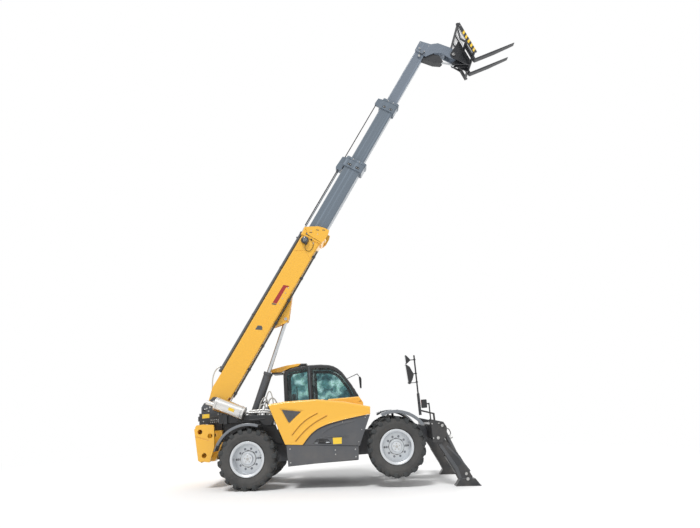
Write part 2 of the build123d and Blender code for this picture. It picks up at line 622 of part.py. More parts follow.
# Hood: yellow shell, crowned along its top edge, with pressed ridges, a side intake and a lip
hood_side = [hood_tail] + hood_top + [(bay_x(2527), 1268)] + [(px, pz + fit_gap) for px, pz in reversed(edge_line[:-1])]
hood_side += [(corner_x - 24, 812)]
hood = side_plate(hood_side, (hood_outer_y, hood_inner_y))
top_edges = [edge for edge in hood.edges() if abs(edge.center().Y - hood_outer_y) < 1
             and edge.center().Z > 1360 and abs(edge.bounding_box().size.X) > 100]
hood = fillet(top_edges, 45)
hollow = [(520, 1580)] + in_bay([(800, 1612), (1437, 1607), (2000, 1518), (2495, 1385), (2495, 1000), (2400, 600)])
hollow += [(700, 600)]
hood -= side_plate(hollow, (hood_outer_y + 30, hood_inner_y + 10))
hump = side_plate(in_bay([(1650, 1600), (1670, 1642), (2335, 1646), (2412, 1520), (2412, 1440)]),
                  (hood_inner_y - 200, hood_inner_y))
hump = fillet([edge for edge in hump.edges() if edge.center().Z > 1580 and edge.bounding_box().size.Y < 1], 25)
hump -= side_plate(in_bay([(2317, 1537), (2392, 1578), (2407, 1520)]), (hood_inner_y - 201, hood_inner_y - 180))
hood += hump
intake_rim = side_face(in_bay([(668, 1540), (1190, 1455), (855, 1160)]), hood_outer_y - 1).outer_wire()
intake_floor = side_face(in_bay([(715, 1500), (1120, 1430), (860, 1215)]), hood_outer_y + 20).outer_wire()
hood -= Solid.make_loft([intake_rim, intake_floor], ruled=True)
gills = [[(905, 993), (1025, 1130), (1162, 1243), (1300, 1322), (1444, 1381)],
         [(967, 868), (1110, 1015), (1273, 1141), (1450, 1240), (1636, 1318)]]
for gill in gills:
    hood += raised_band(in_bay(gill), 62, 13, hood_outer_y, -1)
lip_line = [(px, pz + fit_gap) for px, pz in edge_line[:-1]] + [(bay_x(2520), 1268)]
hood += raised_band(lip_line, 85, 15, hood_outer_y, -1)
for x in hinge_at:
    hood += block((x + 2, x + 58), (hood_inner_y - 14, hinge_y), (hinge_z - 12, hinge_z - 2))
    hood += bar((x + 2, hinge_y, hinge_z), (x + 58, hinge_y, hinge_z), 13)
    hood -= bar((x - 1, hinge_y, hinge_z), (x + 61, hinge_y, hinge_z), 6.5)
nodes["hood"] = hood

# Cab shell: hollow, rounded along its roof, with window and door openings
cab_top = in_bay([(620, 2290), (660, 2380), (760, 2425), (900, 2450), (1150, 2476), (1500, 2468), (1700, 2440),
                  (1805, 2405), (1900, 2345), (2000, 2250), (2200, 1950), (2370, 1600), (2440, 1330), (2320, 1100),
                  (2250, 850), (2235, 640)])
cab_outline = [(corner_x, 640), (corner_x, 800), (bay_rear, 1200)] + cab_top


def cab_prism(amount, y):
    """The cab's outline drawn in by an amount, from y[0] to y[1]."""
    face = side_face(cab_outline, 0)
    if amount:
        face = offset(face, amount=-amount, kind=Kind.INTERSECTION).face()
    return Pos(0, y[0], 0) * Solid.extrude(face, Vector(0, y[1] - y[0], 0))


cab = cab_prism(0, (cab_inner_y, cab_outer_y))
crown_edges = [edge for edge in cab.edges() if abs(edge.center().Z) > 1990 and edge.bounding_box().size.Y < 1]
cab = fillet(crown_edges, 30)
cab -= cab_prism(cab_wall, (cab_inner_y + cab_wall, cab_outer_y - cab_wall))
quarter = in_bay([(700, 1640), (700, 2260), (760, 2350), (1190, 2400), (1190, 1640)])
front_pane = in_bay([(1270, 1640), (1270, 2400), (1700, 2370), (1850, 2290), (1960, 2200), (2150, 1920), (2275, 1640)])
door_side = in_bay([(1270, 760), (1270, 2400), (1700, 2370), (1850, 2290), (1960, 2200), (2150, 1920), (2300, 1590),
                    (2350, 1330), (2240, 1100), (2180, 850), (2170, 760)])
screen_side = in_bay([(1760, 2330), (1900, 2600), (2700, 2600), (2700, 1000), (2350, 1000)])
inner_wall = (cab_inner_y - 10, cab_inner_y + cab_wall + 10)
outer_wall = (cab_outer_y - cab_wall - 10, cab_outer_y + 10)
screen_y = (cab_inner_y + 60, cab_outer_y - 60)
cab -= side_plate(quarter, inner_wall) + side_plate(front_pane, inner_wall)
cab -= side_plate(quarter, outer_wall) + side_plate(door_side, outer_wall)
cab -= side_plate(screen_side, screen_y)
cab -= block((bay_rear - 20, bay_rear + 80), screen_y, (1500, 2240))
door_hinge = (bay_x(1270), cab_outer_y + 20)
for z in (1000, 1900):
    cab += block((door_hinge[0] - 60, door_hinge[0]), (cab_outer_y - 5, door_hinge[1]), (z, z + 60))
    cab += bar((*door_hinge, z), (*door_hinge, z + 60), 14)
    cab += bar((*door_hinge, z + 60), (*door_hinge, z + 120), 6)
nodes["cab_shell"] = cab

# Panes sit in the middle of the walls
panes = [side_plate(quarter, (cab_inner_y + 20, cab_inner_y + 26)),
         side_plate(front_pane, (cab_inner_y + 20, cab_inner_y + 26)),
         side_plate(quarter, (cab_outer_y - 26, cab_outer_y - 20)),
         block((bay_rear + 22, bay_rear + 28), screen_y, (1500, 2240))]
skin = cab_prism(20, screen_y) - cab_prism(26, (cab_inner_y, cab_outer_y))
panes.append(skin & side_plate(screen_side, screen_y))
nodes["cab_glass"] = group(*panes)

roof_side = [(bay_rear - 320, 2405), (bay_rear - 290, 2435), (700, 2505), (960, 2528), (1180, 2518), (1180, 2482),
             (900, 2456), (760, 2431), (640, 2385), (600, 2362), (bay_rear - 280, 2368)]
roof = side_plate(roof_side, (cab_inner_y - 10, cab_outer_y + 10))
roof_edges = [edge for edge in roof.edges() if edge.bounding_box().size.Y < 1 and edge.center().Z > 2440]
nodes["cab_roof"] = fillet(roof_edges, 14)

# Door on the left side, with its two panes and its hinges
door_outer = offset(side_face(door_side, 0), amount=-fit_gap, kind=Kind.INTERSECTION).face()
door = Pos(0, cab_outer_y - cab_wall, 0) * Solid.extrude(door_outer, Vector(0, cab_wall, 0))
door_window = in_bay([(1340, 1560), (1340, 2330), (1690, 2300), (1810, 2240), (1910, 2150), (2085, 1890),
                      (2225, 1560)])
door_low_window = in_bay([(1340, 860), (1340, 1480), (2235, 1480), (2260, 1330), (2170, 1140), (2105, 860)])
for opening in (door_window, door_low_window):
    door -= side_plate(opening, outer_wall)
for z in (1062, 1962):
    door += block((door_hinge[0] + fit_gap, door_hinge[0] + 60), (cab_outer_y - 5, door_hinge[1]), (z, z + 56))
    door += bar((*door_hinge, z), (*door_hinge, z + 56), 14)
    door -= bar((*door_hinge, z - 1), (*door_hinge, z + 57), 6.5)
nodes["cab_door"] = door
pane_y = (cab_outer_y - 28, cab_outer_y - 22)
nodes["door_glass"] = group(side_plate(door_window, pane_y), side_plate(door_low_window, pane_y))

# Seat and controls
seat_mid = (cab_inner_y + cab_outer_y) / 2
cushion = block((bay_x(820), bay_x(1300)), (seat_mid - 230, seat_mid + 230), (1120, 1240))
cushion += block((bay_x(760), bay_x(880)), (seat_mid - 210, seat_mid + 210), (1200, 1830))
cushion += block((bay_x(860), bay_x(1200)), (seat_mid - 170, seat_mid + 170), (690, 1125))
nodes["cab_seat"] = cushion
column_x = bay_x(1815)
console = block((column_x + 35, column_x + 335), (seat_mid - 210, seat_mid + 210), (690, 1250))
console += block((bay_x(900), bay_x(1500)), (cab_inner_y + 60, cab_inner_y + 160), (690, 1330))
console += bar((column_x + 185, seat_mid, 1230), (column_x + 15, seat_mid, 1420), 30)
wheel_rim = [(170, 0), (178, 14), (194, 14), (202, 0), (194, -14), (178, -14)]
wheel_face = Face(Wire.make_polygon([Vector(r, 0, h) for r, h in wheel_rim], close=True))
hand_wheel = Solid.revolve(wheel_face, 360, Axis.Z) + Box(370, 30, 12) + Cylinder(45, 24)
console += Pos(column_x, seat_mid, 1440) * Rot(0, -42, 0) * hand_wheel
nodes["cab_controls"] = console

# Tank under the cab with two steps let into it
tank_x = (corner_x - 10, bay_x(2200))
tank = block(tank_x, (rail_outer, cab_outer_y - 10), (400, 634))
tank = chamfer(tank.edges().filter_by(Axis.X), 18)
for z in (430, 530):
    tank -= block((bay_x(1300), bay_x(1750)), (cab_outer_y - 160, cab_outer_y), (z, z + 75))
nodes["fuel_tank"] = tank

# Muffler on the right behind the hood
muffler_rear, muffler_front = (-740, -640, 1710), (-130, -640, 1485)
muffler = bar(muffler_rear, muffler_front, 125)
muffler = fillet(muffler.edges(), 12)
muffler += bar((-930, -640, 1780), (-735, -640, 1708), 45)
muffler += block((-560, -500), (-640, -235), (1301, 1600)) - bar(muffler_rear, muffler_front, 120)
nodes["exhaust"] = muffler

# Mirrors on the mast at the nose and on the cab
mast_y, mast_x = -1000.0, nose - 185
mirror_y = (mast_y - 150, mast_y + 40)
mast = bar((nose + 115, -838, 960), (nose + 115, -838, 1180), 20)
mast += bar((nose + 115, -838, 1170), (mast_x, mast_y, 1260), 16) + bar((mast_x, mast_y, 1250), (mast_x, mast_y, 2390), 16)
upper = [(mast_x - 203, 2389), (mast_x - 185, 2392), (mast_x - 106, 2300), (mast_x - 106, 2275),
         (mast_x - 180, 2216), (mast_x - 199, 2218)]
lower = [(mast_x - 212, 2198), (mast_x - 195, 2200), (mast_x - 131, 2149), (mast_x - 60, 1990), (mast_x - 100, 1880),
         (mast_x - 150, 1800), (mast_x - 188, 1818)]
mast += side_plate(upper, mirror_y) + side_plate(lower, mirror_y)
for z, reach in ((2288, 110), (2000, 75)):
    mast += block((mast_x - reach, mast_x), (mast_y - 9, mast_y + 9), (z, z + 18))
mast += block((mast_x - 175, mast_x), (mast_y - 7, mast_y + 7), (1818, 1832))
arm_x = bay_x(2090)
cab_mirror = bar((arm_x, cab_outer_y - 20, 2130), (arm_x + 270, cab_outer_y + 20, 2235), 9)
cab_mirror += bar((arm_x + 265, cab_outer_y + 20, 2237), (arm_x + 330, cab_outer_y + 20, 2140), 9)
cab_mirror += soft_plate([(arm_x + 300, 2150), (arm_x + 345, 2155), (arm_x + 365, 2100), (arm_x + 350, 1875),
                          (arm_x + 310, 1880)], (cab_outer_y - 60, cab_outer_y + 60), 12)
nodes["mirrors"] = group(mast, cab_mirror)

# Lamps at the nose, on the boom's mouth and at the rear
lamp_x = nose - 80
front_lamp = block((lamp_x - 55, lamp_x + 55), (-1000, -900), (1300, 1470))
front_lamp = fillet(front_lamp.edges().filter_by(Axis.Y), 14)
front_lamp += bar((lamp_x + 25, -905, 1380), (nose + 45, -800, 1380), 14)
front_lamp += bar((nose + 45, -800, 960), (nose + 45, -800, 1395), 14)
nodes["front_lamp"] = front_lamp
work_lamp = bar((4225, -half_width - 8, 115), (4225, -half_width - 60, 115), 60)
work_lamp += bar((4225, -half_width - 50, 115), (4225, -half_width - 95, 115), 75)
nodes["boom_lamp"] = boom_place * work_lamp
rear_lamp = block((rear_end - 165, rear_end - 142), (-400, -260), (1400, 1500))
valve_box = block((rear_end - 140, -690), (-400, -235), (1325, 1560))
nodes["rear_panel"] = valve_box + rear_lamp

# Pitch the level machine onto its feet and centre it over the origin
pitch = Pos(0, 0, tyre_radius) * Rot(0, -nose_up_deg, 0) * Pos(0, 0, -axle_z)
placed = {name: pitch * shape for name, shape in nodes.items()}
lows = min(shape.bounding_box().min.X for shape in placed.values())
highs = max(shape.bounding_box().max.X for shape in placed.values())
shift = -(lows + highs) / 2
print("shift", shift, "z", min(s.bounding_box().min.Z for s in placed.values()))
os.makedirs("parts", exist_ok=True)
for name, shape in placed.items():
    export_step(Pos(shift, 0, 0) * shape, f"parts/{name}.step")
print(len(placed), "nodes")
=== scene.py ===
# %% [markdown]
# # Telehandler with its boom raised
# The machine stands nose-up on its rear wheels and front stabilizers, with a four-section boom raised over a
# low cab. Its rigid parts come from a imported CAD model, which already has the right sizes and places. This
# lesson gives every surface a finish, and adds what is too small or too soft for the CAD model: tyre tread,
# hoses, bolts, seals, lenses, labels and the sewn seat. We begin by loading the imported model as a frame.

# %% Load the frame
import json
import math

import bmesh
import bpy
from mathutils import Matrix, Vector


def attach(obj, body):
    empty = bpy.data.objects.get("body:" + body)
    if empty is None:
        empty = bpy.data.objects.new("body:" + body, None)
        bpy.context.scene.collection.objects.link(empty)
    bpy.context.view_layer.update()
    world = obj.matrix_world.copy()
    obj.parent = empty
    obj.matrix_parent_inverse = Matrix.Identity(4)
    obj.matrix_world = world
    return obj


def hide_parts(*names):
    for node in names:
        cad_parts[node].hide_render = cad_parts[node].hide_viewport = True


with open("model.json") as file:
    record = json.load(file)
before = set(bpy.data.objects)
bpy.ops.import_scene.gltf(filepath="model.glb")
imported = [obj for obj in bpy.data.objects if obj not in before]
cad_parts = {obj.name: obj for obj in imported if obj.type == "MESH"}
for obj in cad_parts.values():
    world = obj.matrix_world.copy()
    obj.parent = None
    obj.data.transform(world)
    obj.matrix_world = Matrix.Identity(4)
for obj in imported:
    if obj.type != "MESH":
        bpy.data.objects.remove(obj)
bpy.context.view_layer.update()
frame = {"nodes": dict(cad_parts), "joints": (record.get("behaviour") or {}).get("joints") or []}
nodes = frame["nodes"]

# %% [markdown]
# ## Three frames to draw in
# The whole machine is tipped nose-up, the boom is raised, and the fork carriage is tilted again at the boom's
# end. Drawing in tipped coordinates is hard, so each of the three gets its own frame: a matrix that takes
# plain "along, across, up" numbers to the place where the CAD model stands. Machine and boom are worked out
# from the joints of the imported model, so that a piece always sits on what carries it. The carriage follows
# the boom, from where the forks' heel and the tilt pin stand in the boom's own frame.

# %% Machine, boom and carriage frames
joint = {j["name"]: j for j in frame["joints"]}
hubs = {name: Vector(joint["wheel_spin_" + name]["pos_m"])
        for name in ("rear_left", "rear_right", "front_left", "front_right")}
rear_axle = Vector((hubs["rear_left"].x, 0, hubs["rear_left"].z))
front_axle = Vector((hubs["front_left"].x, 0, hubs["front_left"].z))
tyre_radius = rear_axle.z
wheelbase = (front_axle - rear_axle).length
nose_up = math.atan2(front_axle.z - rear_axle.z, front_axle.x - rear_axle.x)
machine = (Matrix.Translation(rear_axle) @ Matrix.Rotation(-nose_up, 4, "Y")
           @ Matrix.Translation((0, 0, -tyre_radius)))

boom_axis = Vector(joint["telescope"]["axis"])
boom_pivot = Vector(joint["boom_lift"]["pos_m"])
boom_rise = math.atan2(boom_axis.z, boom_axis.x)
boom = Matrix.Translation(boom_pivot) @ Matrix.Rotation(-boom_rise, 4, "Y")

tilt_pivot = (10.660, 0.0, -0.830)
fork_heel = (10.692, 0.0, -1.424)
fork_drop = math.radians(37.7)
carriage = boom @ Matrix.Translation(fork_heel) @ Matrix.Rotation(fork_drop, 4, "Y")
print(f"wheelbase {wheelbase:.3f} m, nose up {math.degrees(nose_up):.2f} deg")
print(f"boom {math.degrees(boom_rise):.1f} deg")

# %% [markdown]
# ## The camera
# The picture was taken from the machine's right side, at eye height, looking a little upwards so that the
# tall boom fits. The camera stands at that place. Its lens is worked out from the picture's width in pixels.

# %% Camera
picture_width = 700
picture_height = 528
focal_length_px = 532.6
picture_centre = (352.06, 264.63)
eye = Vector((-0.5756, -12.4107, 1.5027))
yaw, tilt, roll = -0.0057, 0.26614, -0.02266

ahead = Vector((-math.sin(yaw) * math.cos(tilt), math.cos(yaw) * math.cos(tilt), math.sin(tilt)))
level_right = Vector((math.cos(yaw), math.sin(yaw), 0))
level_up = level_right.cross(ahead)
camera_right = math.cos(roll) * level_right + math.sin(roll) * level_up
camera_up = -math.sin(roll) * level_right + math.cos(roll) * level_up
camera = bpy.data.objects.new("camera", bpy.data.cameras.new("camera"))
bpy.context.scene.collection.objects.link(camera)
turn = Matrix((camera_right, camera_up, -ahead)).transposed()
camera.matrix_world = Matrix.Translation(eye) @ turn.to_4x4()
camera.data.sensor_width = 36.0
camera.data.lens = 36.0 * focal_length_px / picture_width
camera.data.shift_x = (picture_width / 2 - picture_centre[0]) / picture_width
camera.data.shift_y = (picture_centre[1] - picture_height / 2) / picture_width
camera.data.clip_end = 200
bpy.context.scene.camera = camera
print(f"lens {camera.data.lens:.1f} mm")

# %% [markdown]
# ## Helpers for shader nodes
# Sky, floor and finishes are all made of shader nodes. These helpers place a node and give it its inputs. An
# input gets a number or a colour, or it is linked to another node's output.

# %% Helpers for nodes


def put(tree, socket, value):
    """A number or colour becomes the socket's own value; another node's output is linked to it."""
    if isinstance(value, bpy.types.NodeSocket):
        tree.links.new(value, socket)
    else:
        socket.default_value = value


def feed(tree, node, **values):
    """Inputs given by name; underscores stand for spaces."""
    for label, value in values.items():
        put(tree, node.inputs[label.replace("_", " ")], value)
    return node


def add_node(tree, kind, settings=None, **values):
    """A node with its settings and inputs."""
    node = tree.nodes.new("ShaderNode" + kind)
    for label, value in (settings or {}).items():
        setattr(node, label, value)
    return feed(tree, node, **values)


def vector_math(tree, operation, *given):
    node = add_node(tree, "VectorMath", {"operation": operation})
    for socket, value in zip(node.inputs, given):
        put(tree, socket, value)
    return node.outputs


def math_node(tree, operation, *given, clamp=False):
    """A maths node on outputs or numbers; returns its output."""
    node = add_node(tree, "Math", {"operation": operation, "use_clamp": clamp})
    for socket, value in zip(node.inputs, given):
        put(tree, socket, value)
    return node.outputs[0]


print("node helpers: put, feed, add_node, vector_math, math_node")

# %% [markdown]
# ## Studio: pale floor, soft light, white background
# The machine is shown on plain white. A large floor carries its shadow, and fades into pure white well away
# from it, so that there is no horizon line. The light is a broad soft sun from above the camera, a weaker and
# softer one from the other side, and an even sky. Together they add up to about one, so that a colour renders
# about as it is written. The sky is full white only where it is seen, directly, through glass or in a gloss.

# %% World and lamps
scene = bpy.context.scene
scene.view_settings.view_transform = "Standard"
scene.world = bpy.data.worlds.new("studio")
scene.world.use_nodes = True
sky = scene.world.node_tree
sky.nodes.clear()
sky_strength = 0.62
rays = add_node(sky, "LightPath").outputs
seen = math_node(sky, "MAXIMUM", rays["Is Camera Ray"], rays["Is Transmission Ray"])
seen = math_node(sky, "MAXIMUM", seen, rays["Is Glossy Ray"])
strength = add_node(sky, "MapRange", Value=seen, To_Min=sky_strength, To_Max=1.0)
backdrop = add_node(sky, "Background", Color=(1, 1, 1, 1), Strength=strength.outputs[0])
add_node(sky, "OutputWorld", Surface=backdrop.outputs[0])


def sun(name, elevation, azimuth, power, softness):
    """A soft sun; azimuth 0 shines from the camera's side, positive from its left."""
    lamp = bpy.data.objects.new(name, bpy.data.lights.new(name, "SUN"))
    lamp.data.energy = power
    lamp.data.angle = math.radians(softness)
    e, a = math.radians(elevation), math.radians(azimuth)
    towards = Vector((-math.sin(a) * math.cos(e), -math.cos(a) * math.cos(e), math.sin(e)))
    lamp.rotation_euler = towards.to_track_quat("Z", "Y").to_euler()
    scene.collection.objects.link(lamp)


sun("key", 58, 24, 1.62, 14)
sun("fill", 35, 200, 0.5, 60)
print("sky", sky_strength)

# %% Floor
floor_radius = 60.0
white_from, white_to = 3.0, 13.0
grid = bmesh.new()
bmesh.ops.create_circle(grid, cap_ends=True, radius=floor_radius, segments=64)
floor = bpy.data.objects.new("floor", bpy.data.meshes.new("floor"))
grid.to_mesh(floor.data)
grid.free()
scene.collection.objects.link(floor)
floor_finish = bpy.data.materials.new("studio_floor")
floor_finish.use_nodes = True
tree = floor_finish.node_tree
tree.nodes.clear()
matte = add_node(tree, "BsdfDiffuse", Color=(0.97, 0.97, 0.97, 1))
glow = add_node(tree, "Emission", Color=(1, 1, 1, 1), Strength=1.0)
away = vector_math(tree, "LENGTH", add_node(tree, "NewGeometry").outputs["Position"])["Value"]
fade = add_node(tree, "MapRange", {"interpolation_type": "SMOOTHSTEP"}, Value=away, From_Min=white_from,
                From_Max=white_to)
seen = math_node(tree, "MULTIPLY", fade.outputs[0], add_node(tree, "LightPath").outputs["Is Camera Ray"])
blend = add_node(tree, "MixShader")
for socket, value in zip(blend.inputs, (seen, matte.outputs[0], glow.outputs[0])):
    put(tree, socket, value)
add_node(tree, "OutputMaterial", Surface=blend.outputs[0])
floor.data.materials.append(floor_finish)
print("floor radius", floor_radius, "m, white from", white_from, "to", white_to, "m")

# %% [markdown]
# ## Shared surface effects
# Paint, plastic, iron and rubber on a working machine share a few effects: edges where the finish is thin,
# dust that settles low down, fine grain, and a slow drift of tone. Each effect is a shader node group with
# named inputs and outputs, built once. A material places the groups that it needs, with its own values, so
# that all finishes belong to one machine.

# %% Helpers for node groups


def new_group(name, inputs, *outputs):
    """An empty node group with number inputs {name: default}; the output called Normal is a vector."""
    group = bpy.data.node_groups.new(name, "ShaderNodeTree")
    for label, value in inputs.items():
        socket = group.interface.new_socket(label, in_out="INPUT", socket_type="NodeSocketFloat")
        socket.default_value = value
    for label in outputs:
        kind = "NodeSocketVector" if label == "Normal" else "NodeSocketFloat"
        group.interface.new_socket(label, in_out="OUTPUT", socket_type=kind)
    return group, group.nodes.new("NodeGroupInput").outputs, group.nodes.new("NodeGroupOutput")


def object_place(tree):
    return add_node(tree, "TexCoord").outputs["Object"]


def object_noise(tree, scale, detail, roughness=0.5, distortion=0.0):
    """Noise that stays fixed on its object."""
    return add_node(tree, "TexNoise", Vector=object_place(tree), Scale=scale, Detail=detail,
                    Roughness=roughness, Distortion=distortion).outputs[0]


print("group helpers: new_group, object_place, object_noise")

# %% Edge wear: where two faces meet, the finish is thin and catches light
wear_contrast = 9.0
edge_wear, given, result = new_group("edge wear", {"Width": 0.008, "Break Up": 9.0}, "Mask", "Normal")
rounded = add_node(edge_wear, "Bevel", {"samples": 4}, Radius=given["Width"]).outputs[0]
plain = add_node(edge_wear, "NewGeometry").outputs["Normal"]
edge = math_node(edge_wear, "SUBTRACT", 1.0, vector_math(edge_wear, "DOT_PRODUCT", rounded, plain)["Value"])
patchy = object_noise(edge_wear, given["Break Up"], 3.0, 0.65)
broken = math_node(edge_wear, "MULTIPLY", patchy, wear_contrast)
broken = math_node(edge_wear, "MULTIPLY", edge, broken)
feed(edge_wear, result, Mask=math_node(edge_wear, "MINIMUM", broken, 1.0, clamp=True), Normal=rounded)
print("group", edge_wear.name)

# %% Settled dust: more of it low down, in soft patches, and on faces that look up
low_share, upward_share = 0.75, 0.35
settled_dust, given, result = new_group("settled dust", {"Scale": 2.2, "Low": 0.0, "High": 1.6}, "Mask")
height = add_node(settled_dust, "SeparateXYZ", Vector=object_place(settled_dust)).outputs["Z"]
lower = add_node(settled_dust, "MapRange", Value=height, From_Min=given["Low"], From_Max=given["High"],
                 To_Min=1.0, To_Max=0.0)
patches = add_node(settled_dust, "MapRange", Value=object_noise(settled_dust, given["Scale"], 5.0, 0.6),
                   From_Min=0.38, From_Max=0.70)
normal = add_node(settled_dust, "NewGeometry").outputs["Normal"]
facing = add_node(settled_dust, "SeparateXYZ", Vector=normal).outputs["Z"]
upward = math_node(settled_dust, "MULTIPLY", math_node(settled_dust, "MAXIMUM", facing, 0.0), upward_share)
low_down = math_node(settled_dust, "MULTIPLY", lower.outputs[0], low_share)
dust_sum = math_node(settled_dust, "ADD", low_down, upward)
feed(settled_dust, result, Mask=math_node(settled_dust, "MULTIPLY", dust_sum, patches.outputs[0], clamp=True))
print("group", settled_dust.name)

# %% Fine grain and slow tone drift
grain, given, result = new_group("grain", {"Fine": 420.0, "Broad": 1.4}, "Height", "Tone")
feed(grain, result, Height=object_noise(grain, given["Fine"], 2.0, 0.55),
     Tone=object_noise(grain, given["Broad"], 4.0, 0.55))
print("group", grain.name)

# %% Drawn streaks: long thin marks along one direction, for polished, painted and heat-shield metal; on boom paint they are painted lighter, as streaks of highlight
streaks, given, result = new_group("streaks", {"Along": 2.0, "Across": 60.0, "Turn": 0.0}, "Mask")
turned = add_node(streaks, "VectorRotate", {"rotation_type": "Y_AXIS"}, Vector=object_place(streaks),
                  Angle=given["Turn"]).outputs[0]
stretch = add_node(streaks, "CombineXYZ", X=given["Along"], Y=given["Across"], Z=given["Across"]).outputs[0]
stretched = vector_math(streaks, "MULTIPLY", turned, stretch)["Vector"]
feed(streaks, result, Mask=add_node(streaks, "TexNoise", Vector=stretched, Scale=1.0, Detail=4.0).outputs[0])
print("group", streaks.name)

# %% [markdown]
# ## Finishes
# Most of the machine is sprayed paint over steel, moulded plastic or cast iron. They differ in colour, gloss,
# how much edge and dust shows, and how coarse the grain is, so one function makes them all from those values.
# Boom paint also has faint marks drawn along it by the wear pads, painted lighter as streaks of highlight.
# Glass, chrome, rubber and cloth work in another way, and each is made on its own.

# %% Helpers for materials


def new_material(name, **values):
    """A material with only a Principled shader and its output."""
    material = bpy.data.materials.new(name)
    material.use_nodes = True
    tree = material.node_tree
    return material, tree, feed(tree, tree.nodes["Principled BSDF"], **values)


def use_group(tree, group, **values):
    return add_node(tree, "Group", {"node_tree": group}, **values).outputs


def mix_colours(tree, factor, a, b):
    """Mix two colours, each an output or (red, green, blue), by an output."""
    node = add_node(tree, "Mix", {"data_type": "RGBA"}, Factor=factor)
    for socket, value in zip(node.inputs[6:8], (a, b)):
        put(tree, socket, (*value, 1) if isinstance(value, tuple) else value)
    return node.outputs[2]


def shade(colour, factor):
    return tuple(min(1.0, v * factor) for v in colour)


def add_relief(tree, shader, height, distance, strength=1.0, **normal):
    """Small bumps, on top of a normal if one is given."""
    bumps = add_node(tree, "Bump", Strength=strength, Distance=distance, Height=height, **normal)
    feed(tree, shader, Normal=bumps.outputs[0])


print("material helpers: new_material, use_group, mix_colours, shade, add_relief")

# %% One function for paint, plastic and cast metal
dust_colour = (0.36, 0.31, 0.25)
# The second factor lightens the boom's pad marks into painted streaks of highlight
worn_shade, streak_highlight_shade = 1.7, 1.9
streak_highlight_gain, streak_highlight_from = 9.0, -4.9
dust_dulls, drift_dulls = 0.5, 0.18
grain_depth = 0.01


def solid_finish(name, colour, roughness, metallic=0.0, coat=0.0, edge=0.35, edge_colour=None,
                 edge_width=0.008, dust=0.35, dust_high=1.6, fine=420.0, bump=0.02, tone=0.10, drawn=0.0):
    """Paint, plastic or cast metal with tone drift, worn edges, settled dust and fine grain; drawn marks are
    painted lighter, as streaks of highlight.
    """
    material, tree, shader = new_material(name, Metallic=metallic, Coat_Weight=coat, Coat_Roughness=0.12)
    grains = use_group(tree, grain, Fine=fine)
    drift = math_node(tree, "MULTIPLY", grains["Tone"], tone * 4, clamp=True)
    base = mix_colours(tree, drift, colour, shade(colour, 1 - tone))
    # Pale streaks along the boom: wear-pad marks, painted lighter as streaks of highlight
    if drawn:
        marks = use_group(tree, streaks, Along=0.10, Across=17.0, Turn=boom_rise)["Mask"]
        pale = math_node(tree, "MULTIPLY_ADD", marks, streak_highlight_gain, streak_highlight_from, clamp=True)
        pale = math_node(tree, "MULTIPLY", pale, drawn)
        base = mix_colours(tree, pale, base, shade(colour, streak_highlight_shade))
    wear = use_group(tree, edge_wear, Width=edge_width)
    worn = math_node(tree, "MULTIPLY", wear["Mask"], edge, clamp=True)
    base = mix_colours(tree, worn, base, edge_colour or shade(colour, worn_shade))
    dusty = use_group(tree, settled_dust, High=dust_high)["Mask"]
    dusted = math_node(tree, "MULTIPLY", dusty, dust, clamp=True)
    dull = math_node(tree, "MULTIPLY", dusted, dust_dulls)
    uneven = math_node(tree, "MULTIPLY", math_node(tree, "SUBTRACT", grains["Tone"], 0.5), drift_dulls)
    rough = math_node(tree, "ADD", math_node(tree, "ADD", dull, uneven), roughness, clamp=True)
    feed(tree, shader, Base_Color=mix_colours(tree, dusted, base, dust_colour), Roughness=rough)
    add_relief(tree, shader, grains["Height"], bump * grain_depth, Normal=wear["Normal"])
    return material


print("settled dust", dust_colour)

# %% Painted, moulded and cast finishes
visor_yellow = (0.90, 0.48, 0.040)
bare_yellow = (1.0, 0.72, 0.22)
yellow = solid_finish("yellow_paint", visor_yellow, 0.32, coat=0.50, edge=0.25, edge_colour=bare_yellow,
                      dust=0.25, dust_high=1.0, tone=0.07)
charcoal = solid_finish("charcoal_paint", (0.085, 0.09, 0.10), 0.45, edge=0.4, dust=0.30)
# Boom, head and extension barrel paint get pale streaks: painted highlight along the boom
boom_grey = solid_finish("boom_grey_paint", (0.135, 0.170, 0.210), 0.34, coat=0.2, edge=0.6, dust=0.0,
                         drawn=0.45)
head_grey = solid_finish("head_grey_paint", (0.170, 0.205, 0.255), 0.34, coat=0.2, edge=0.7, dust=0.0,
                         drawn=0.35)
barrel_grey = solid_finish("barrel_grey_paint", (0.100, 0.115, 0.135), 0.26, metallic=0.3, coat=0.3, edge=0.5,
                           dust=0.0, drawn=0.4)
black_paint = solid_finish("black_paint", (0.026, 0.028, 0.032), 0.38, coat=0.1, edge=0.5,
                           edge_colour=(0.16, 0.16, 0.17), dust=0.3)
dark_paint = solid_finish("dark_grey_paint", (0.065, 0.070, 0.078), 0.36, coat=0.2, edge=0.4, dust=0.2)
plastic = solid_finish("black_plastic", (0.020, 0.020, 0.022), 0.5, edge=0.25, fine=900.0, bump=0.05,
                       edge_colour=(0.10, 0.10, 0.10), dust=0.3)
fender_plastic = solid_finish("fender_plastic", (0.160, 0.175, 0.195), 0.24, coat=0.6, edge=0.4, fine=700.0,
                              dust=0.20, dust_high=1.5)
iron = solid_finish("cast_iron", (0.060, 0.058, 0.056), 0.62, metallic=0.25, edge=0.6, fine=160.0, bump=0.12,
                    edge_colour=(0.22, 0.21, 0.20), dust=0.6)
rim_silver = solid_finish("rim_silver", (0.66, 0.69, 0.72), 0.30, metallic=0.55, edge=0.6,
                          edge_colour=(0.95, 0.97, 1.0), dust=0.22, dust_high=1.1)
zinc = solid_finish("zinc_bolts", (0.50, 0.50, 0.49), 0.35, metallic=0.9, edge=0.3, edge_width=0.003,
                    dust=0.2)
tray_pipe = solid_finish("tray_pipe", (0.30, 0.25, 0.15), 0.35, metallic=0.6, edge=0.2, dust=0.0)
